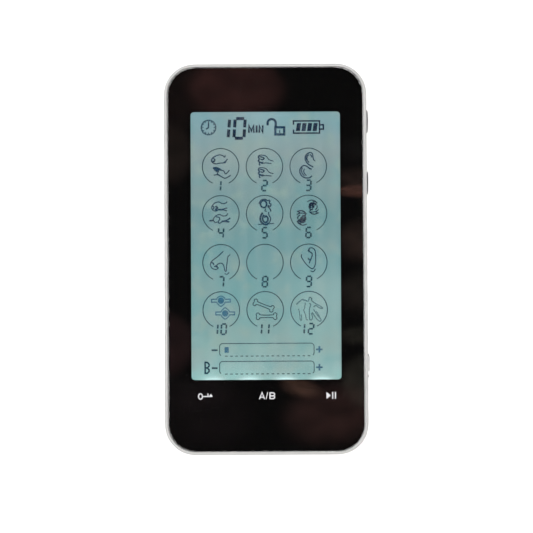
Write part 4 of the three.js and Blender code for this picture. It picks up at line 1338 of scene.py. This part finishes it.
def ceiling_card(index, middle, half, color, soft, turn=0):
    """A dim soft card high above the unit, which the glass mirrors at a spot given in millimetres."""
    name = f"ceiling_{index}"
    height = 1.2 + 0.002 * index
    card = sheet(name, 1, 0, glow_material(name, color, soft))
    reach = 1 + height / (CAMERA_EYE.z - FACE)
    eye = CAMERA_EYE.to_2d()
    spot = eye + (Vector(middle) * MM - eye) * reach
    card.location = (spot.x, spot.y, FACE + height)
    card.rotation_euler = (0, 0, math.radians(turn))
    card.scale = (half[0] * MM * reach, half[1] * MM * reach, 1)


def ceiling():
    """The dim brown room that the cover glass mirrors."""
    # Middle and half size in millimetres, colour, softness, and how far it is turned in degrees.
    glows = [
        ((-9, 50), (17, 11), (0.29, 0.110, 0.100), 0.45),
        ((-26, 48), (9, 14), (0.05, 0.025, 0.022), 0.6),
        ((-29, 31), (9, 11), (0.12, 0.080, 0.065), 0.45),
        ((-29, -25), (9, 11), (0.15, 0.070, 0.072), 0.45),
        ((-20, -39), (13, 7), (0.03, 0.020, 0.022), 0.6),
        ((27, 19.6), (8, 2.4), (0.62, 0.27, 0.200), 0.6),
        ((27, 23), (9, 5), (0.20, 0.120, 0.100), 0.8),
        ((28, 32), (9, 6), (0.05, 0.045, 0.045), 0.9),
        ((28, 5), (9, 8), (0.24, 0.150, 0.120), 0.7),
        ((28, -10), (9, 8), (0.14, 0.110, 0.090), 0.7),
        ((28, -22.5), (9, 3.6), (0.14, 0.130, 0.095), 0.6, 4),
        ((29, -36), (9, 9), (0.18, 0.165, 0.130), 0.45, 15),
        ((19, -46), (18, 11), (0.23, 0.105, 0.092), 0.6, 8),
        ((10, -38), (8, 3.5), (0.58, 0.300, 0.210), 0.8, -12),
        ((-17, -46), (17, 13), (0.035, 0.022, 0.025), 0.6),
    ]
    for index, glow in enumerate(glows):
        ceiling_card(index, *glow)


# Where the photo was taken from: how far off, the point it looks at, its tilt and its roll.
CAMERA_DISTANCE = 0.5213
CAMERA_AIM = Vector((0.08 * MM, -2.3 * MM, FACE))
CAMERA_TILT = math.radians(1.6)
CAMERA_ROLL = math.radians(-0.3)
CAMERA_EYE = CAMERA_AIM + CAMERA_DISTANCE * Vector((0, -math.sin(CAMERA_TILT), math.cos(CAMERA_TILT)))


def camera():
    """A long lens that looks down at the face, from a little towards its lower end."""
    data = bpy.data.cameras.new("camera")
    data.lens = 120
    data.sensor_width = 36
    data.clip_start = 0.01
    data.clip_end = 20
    made = bpy.data.objects.new("camera", data)
    made.location = CAMERA_EYE
    made.rotation_euler = (CAMERA_TILT, 0, CAMERA_ROLL)
    bpy.context.scene.collection.objects.link(made)
    bpy.context.scene.camera = made


def studio():
    """Six soft lamps in a ring overhead, and none straight above, so the glass stays dark."""
    world = bpy.data.worlds.new("studio")
    world.use_nodes = True
    world.node_tree.nodes["Background"].inputs["Color"].default_value = (0.02, 0.02, 0.02, 1)
    bpy.context.scene.world = world
    warm, warmer, cool = (1, 0.965, 0.94), (1, 0.945, 0.90), (0.98, 0.99, 1)
    ring_radius, ring_height, lamp_size = 0.44, 0.92, 0.4
    # Where each lamp stands in the ring, in degrees, its power and its colour.
    lamps = [(15, 2.15, warm), (75, 2.3, cool), (135, 2.75, cool), (195, 2.9, cool), (255, 1.75, warmer),
             (315, 2.1, warm)]
    for degrees, power, color in lamps:
        angle = math.radians(degrees)
        place = (ring_radius * math.cos(angle), ring_radius * math.sin(angle), ring_height)
        soft_lamp(f"lamp_{degrees}", place, lamp_size, power, color)
    bpy.context.scene.view_settings.view_transform = "Standard"


# ---------------- the whole unit

case_material = case_plastic()
black_material = moulded("black_plastic", (0.012, 0.0125, 0.014), 0.34)
metal_material = brushed("plated_steel", (0.62, 0.62, 0.63), 0.22)
screw_material = brushed("zinc_steel", (0.5, 0.5, 0.52), 0.3, (1, 1, 0.1))

# The case and its fittings, each made again in finer form.
front_frame(case_material)
rear_cover(case_material)
rating_label(moulded("label_film", (0.5, 0.51, 0.52), 0.35))
for screw in range(1, 5):
    case_screw(screw, screw_material)
cover_lens(cover_glass())
for letter in "ab":
    output_socket(letter, black_material, metal_material)
switch_collar(black_material)
power_knob(moulded("knob_plastic", (0.78, 0.78, 0.79), 0.3))
charging_socket(metal_material, black_material)
usb_contacts(brushed("gold_plate", (0.8, 0.58, 0.25), 0.2))

# The rest of the frame's pieces, and what the display shows.
inner_pieces(black_material, metal_material, screw_material)
display_artwork()

# The photograph's surroundings.
floor()
ceiling()
studio()
camera()
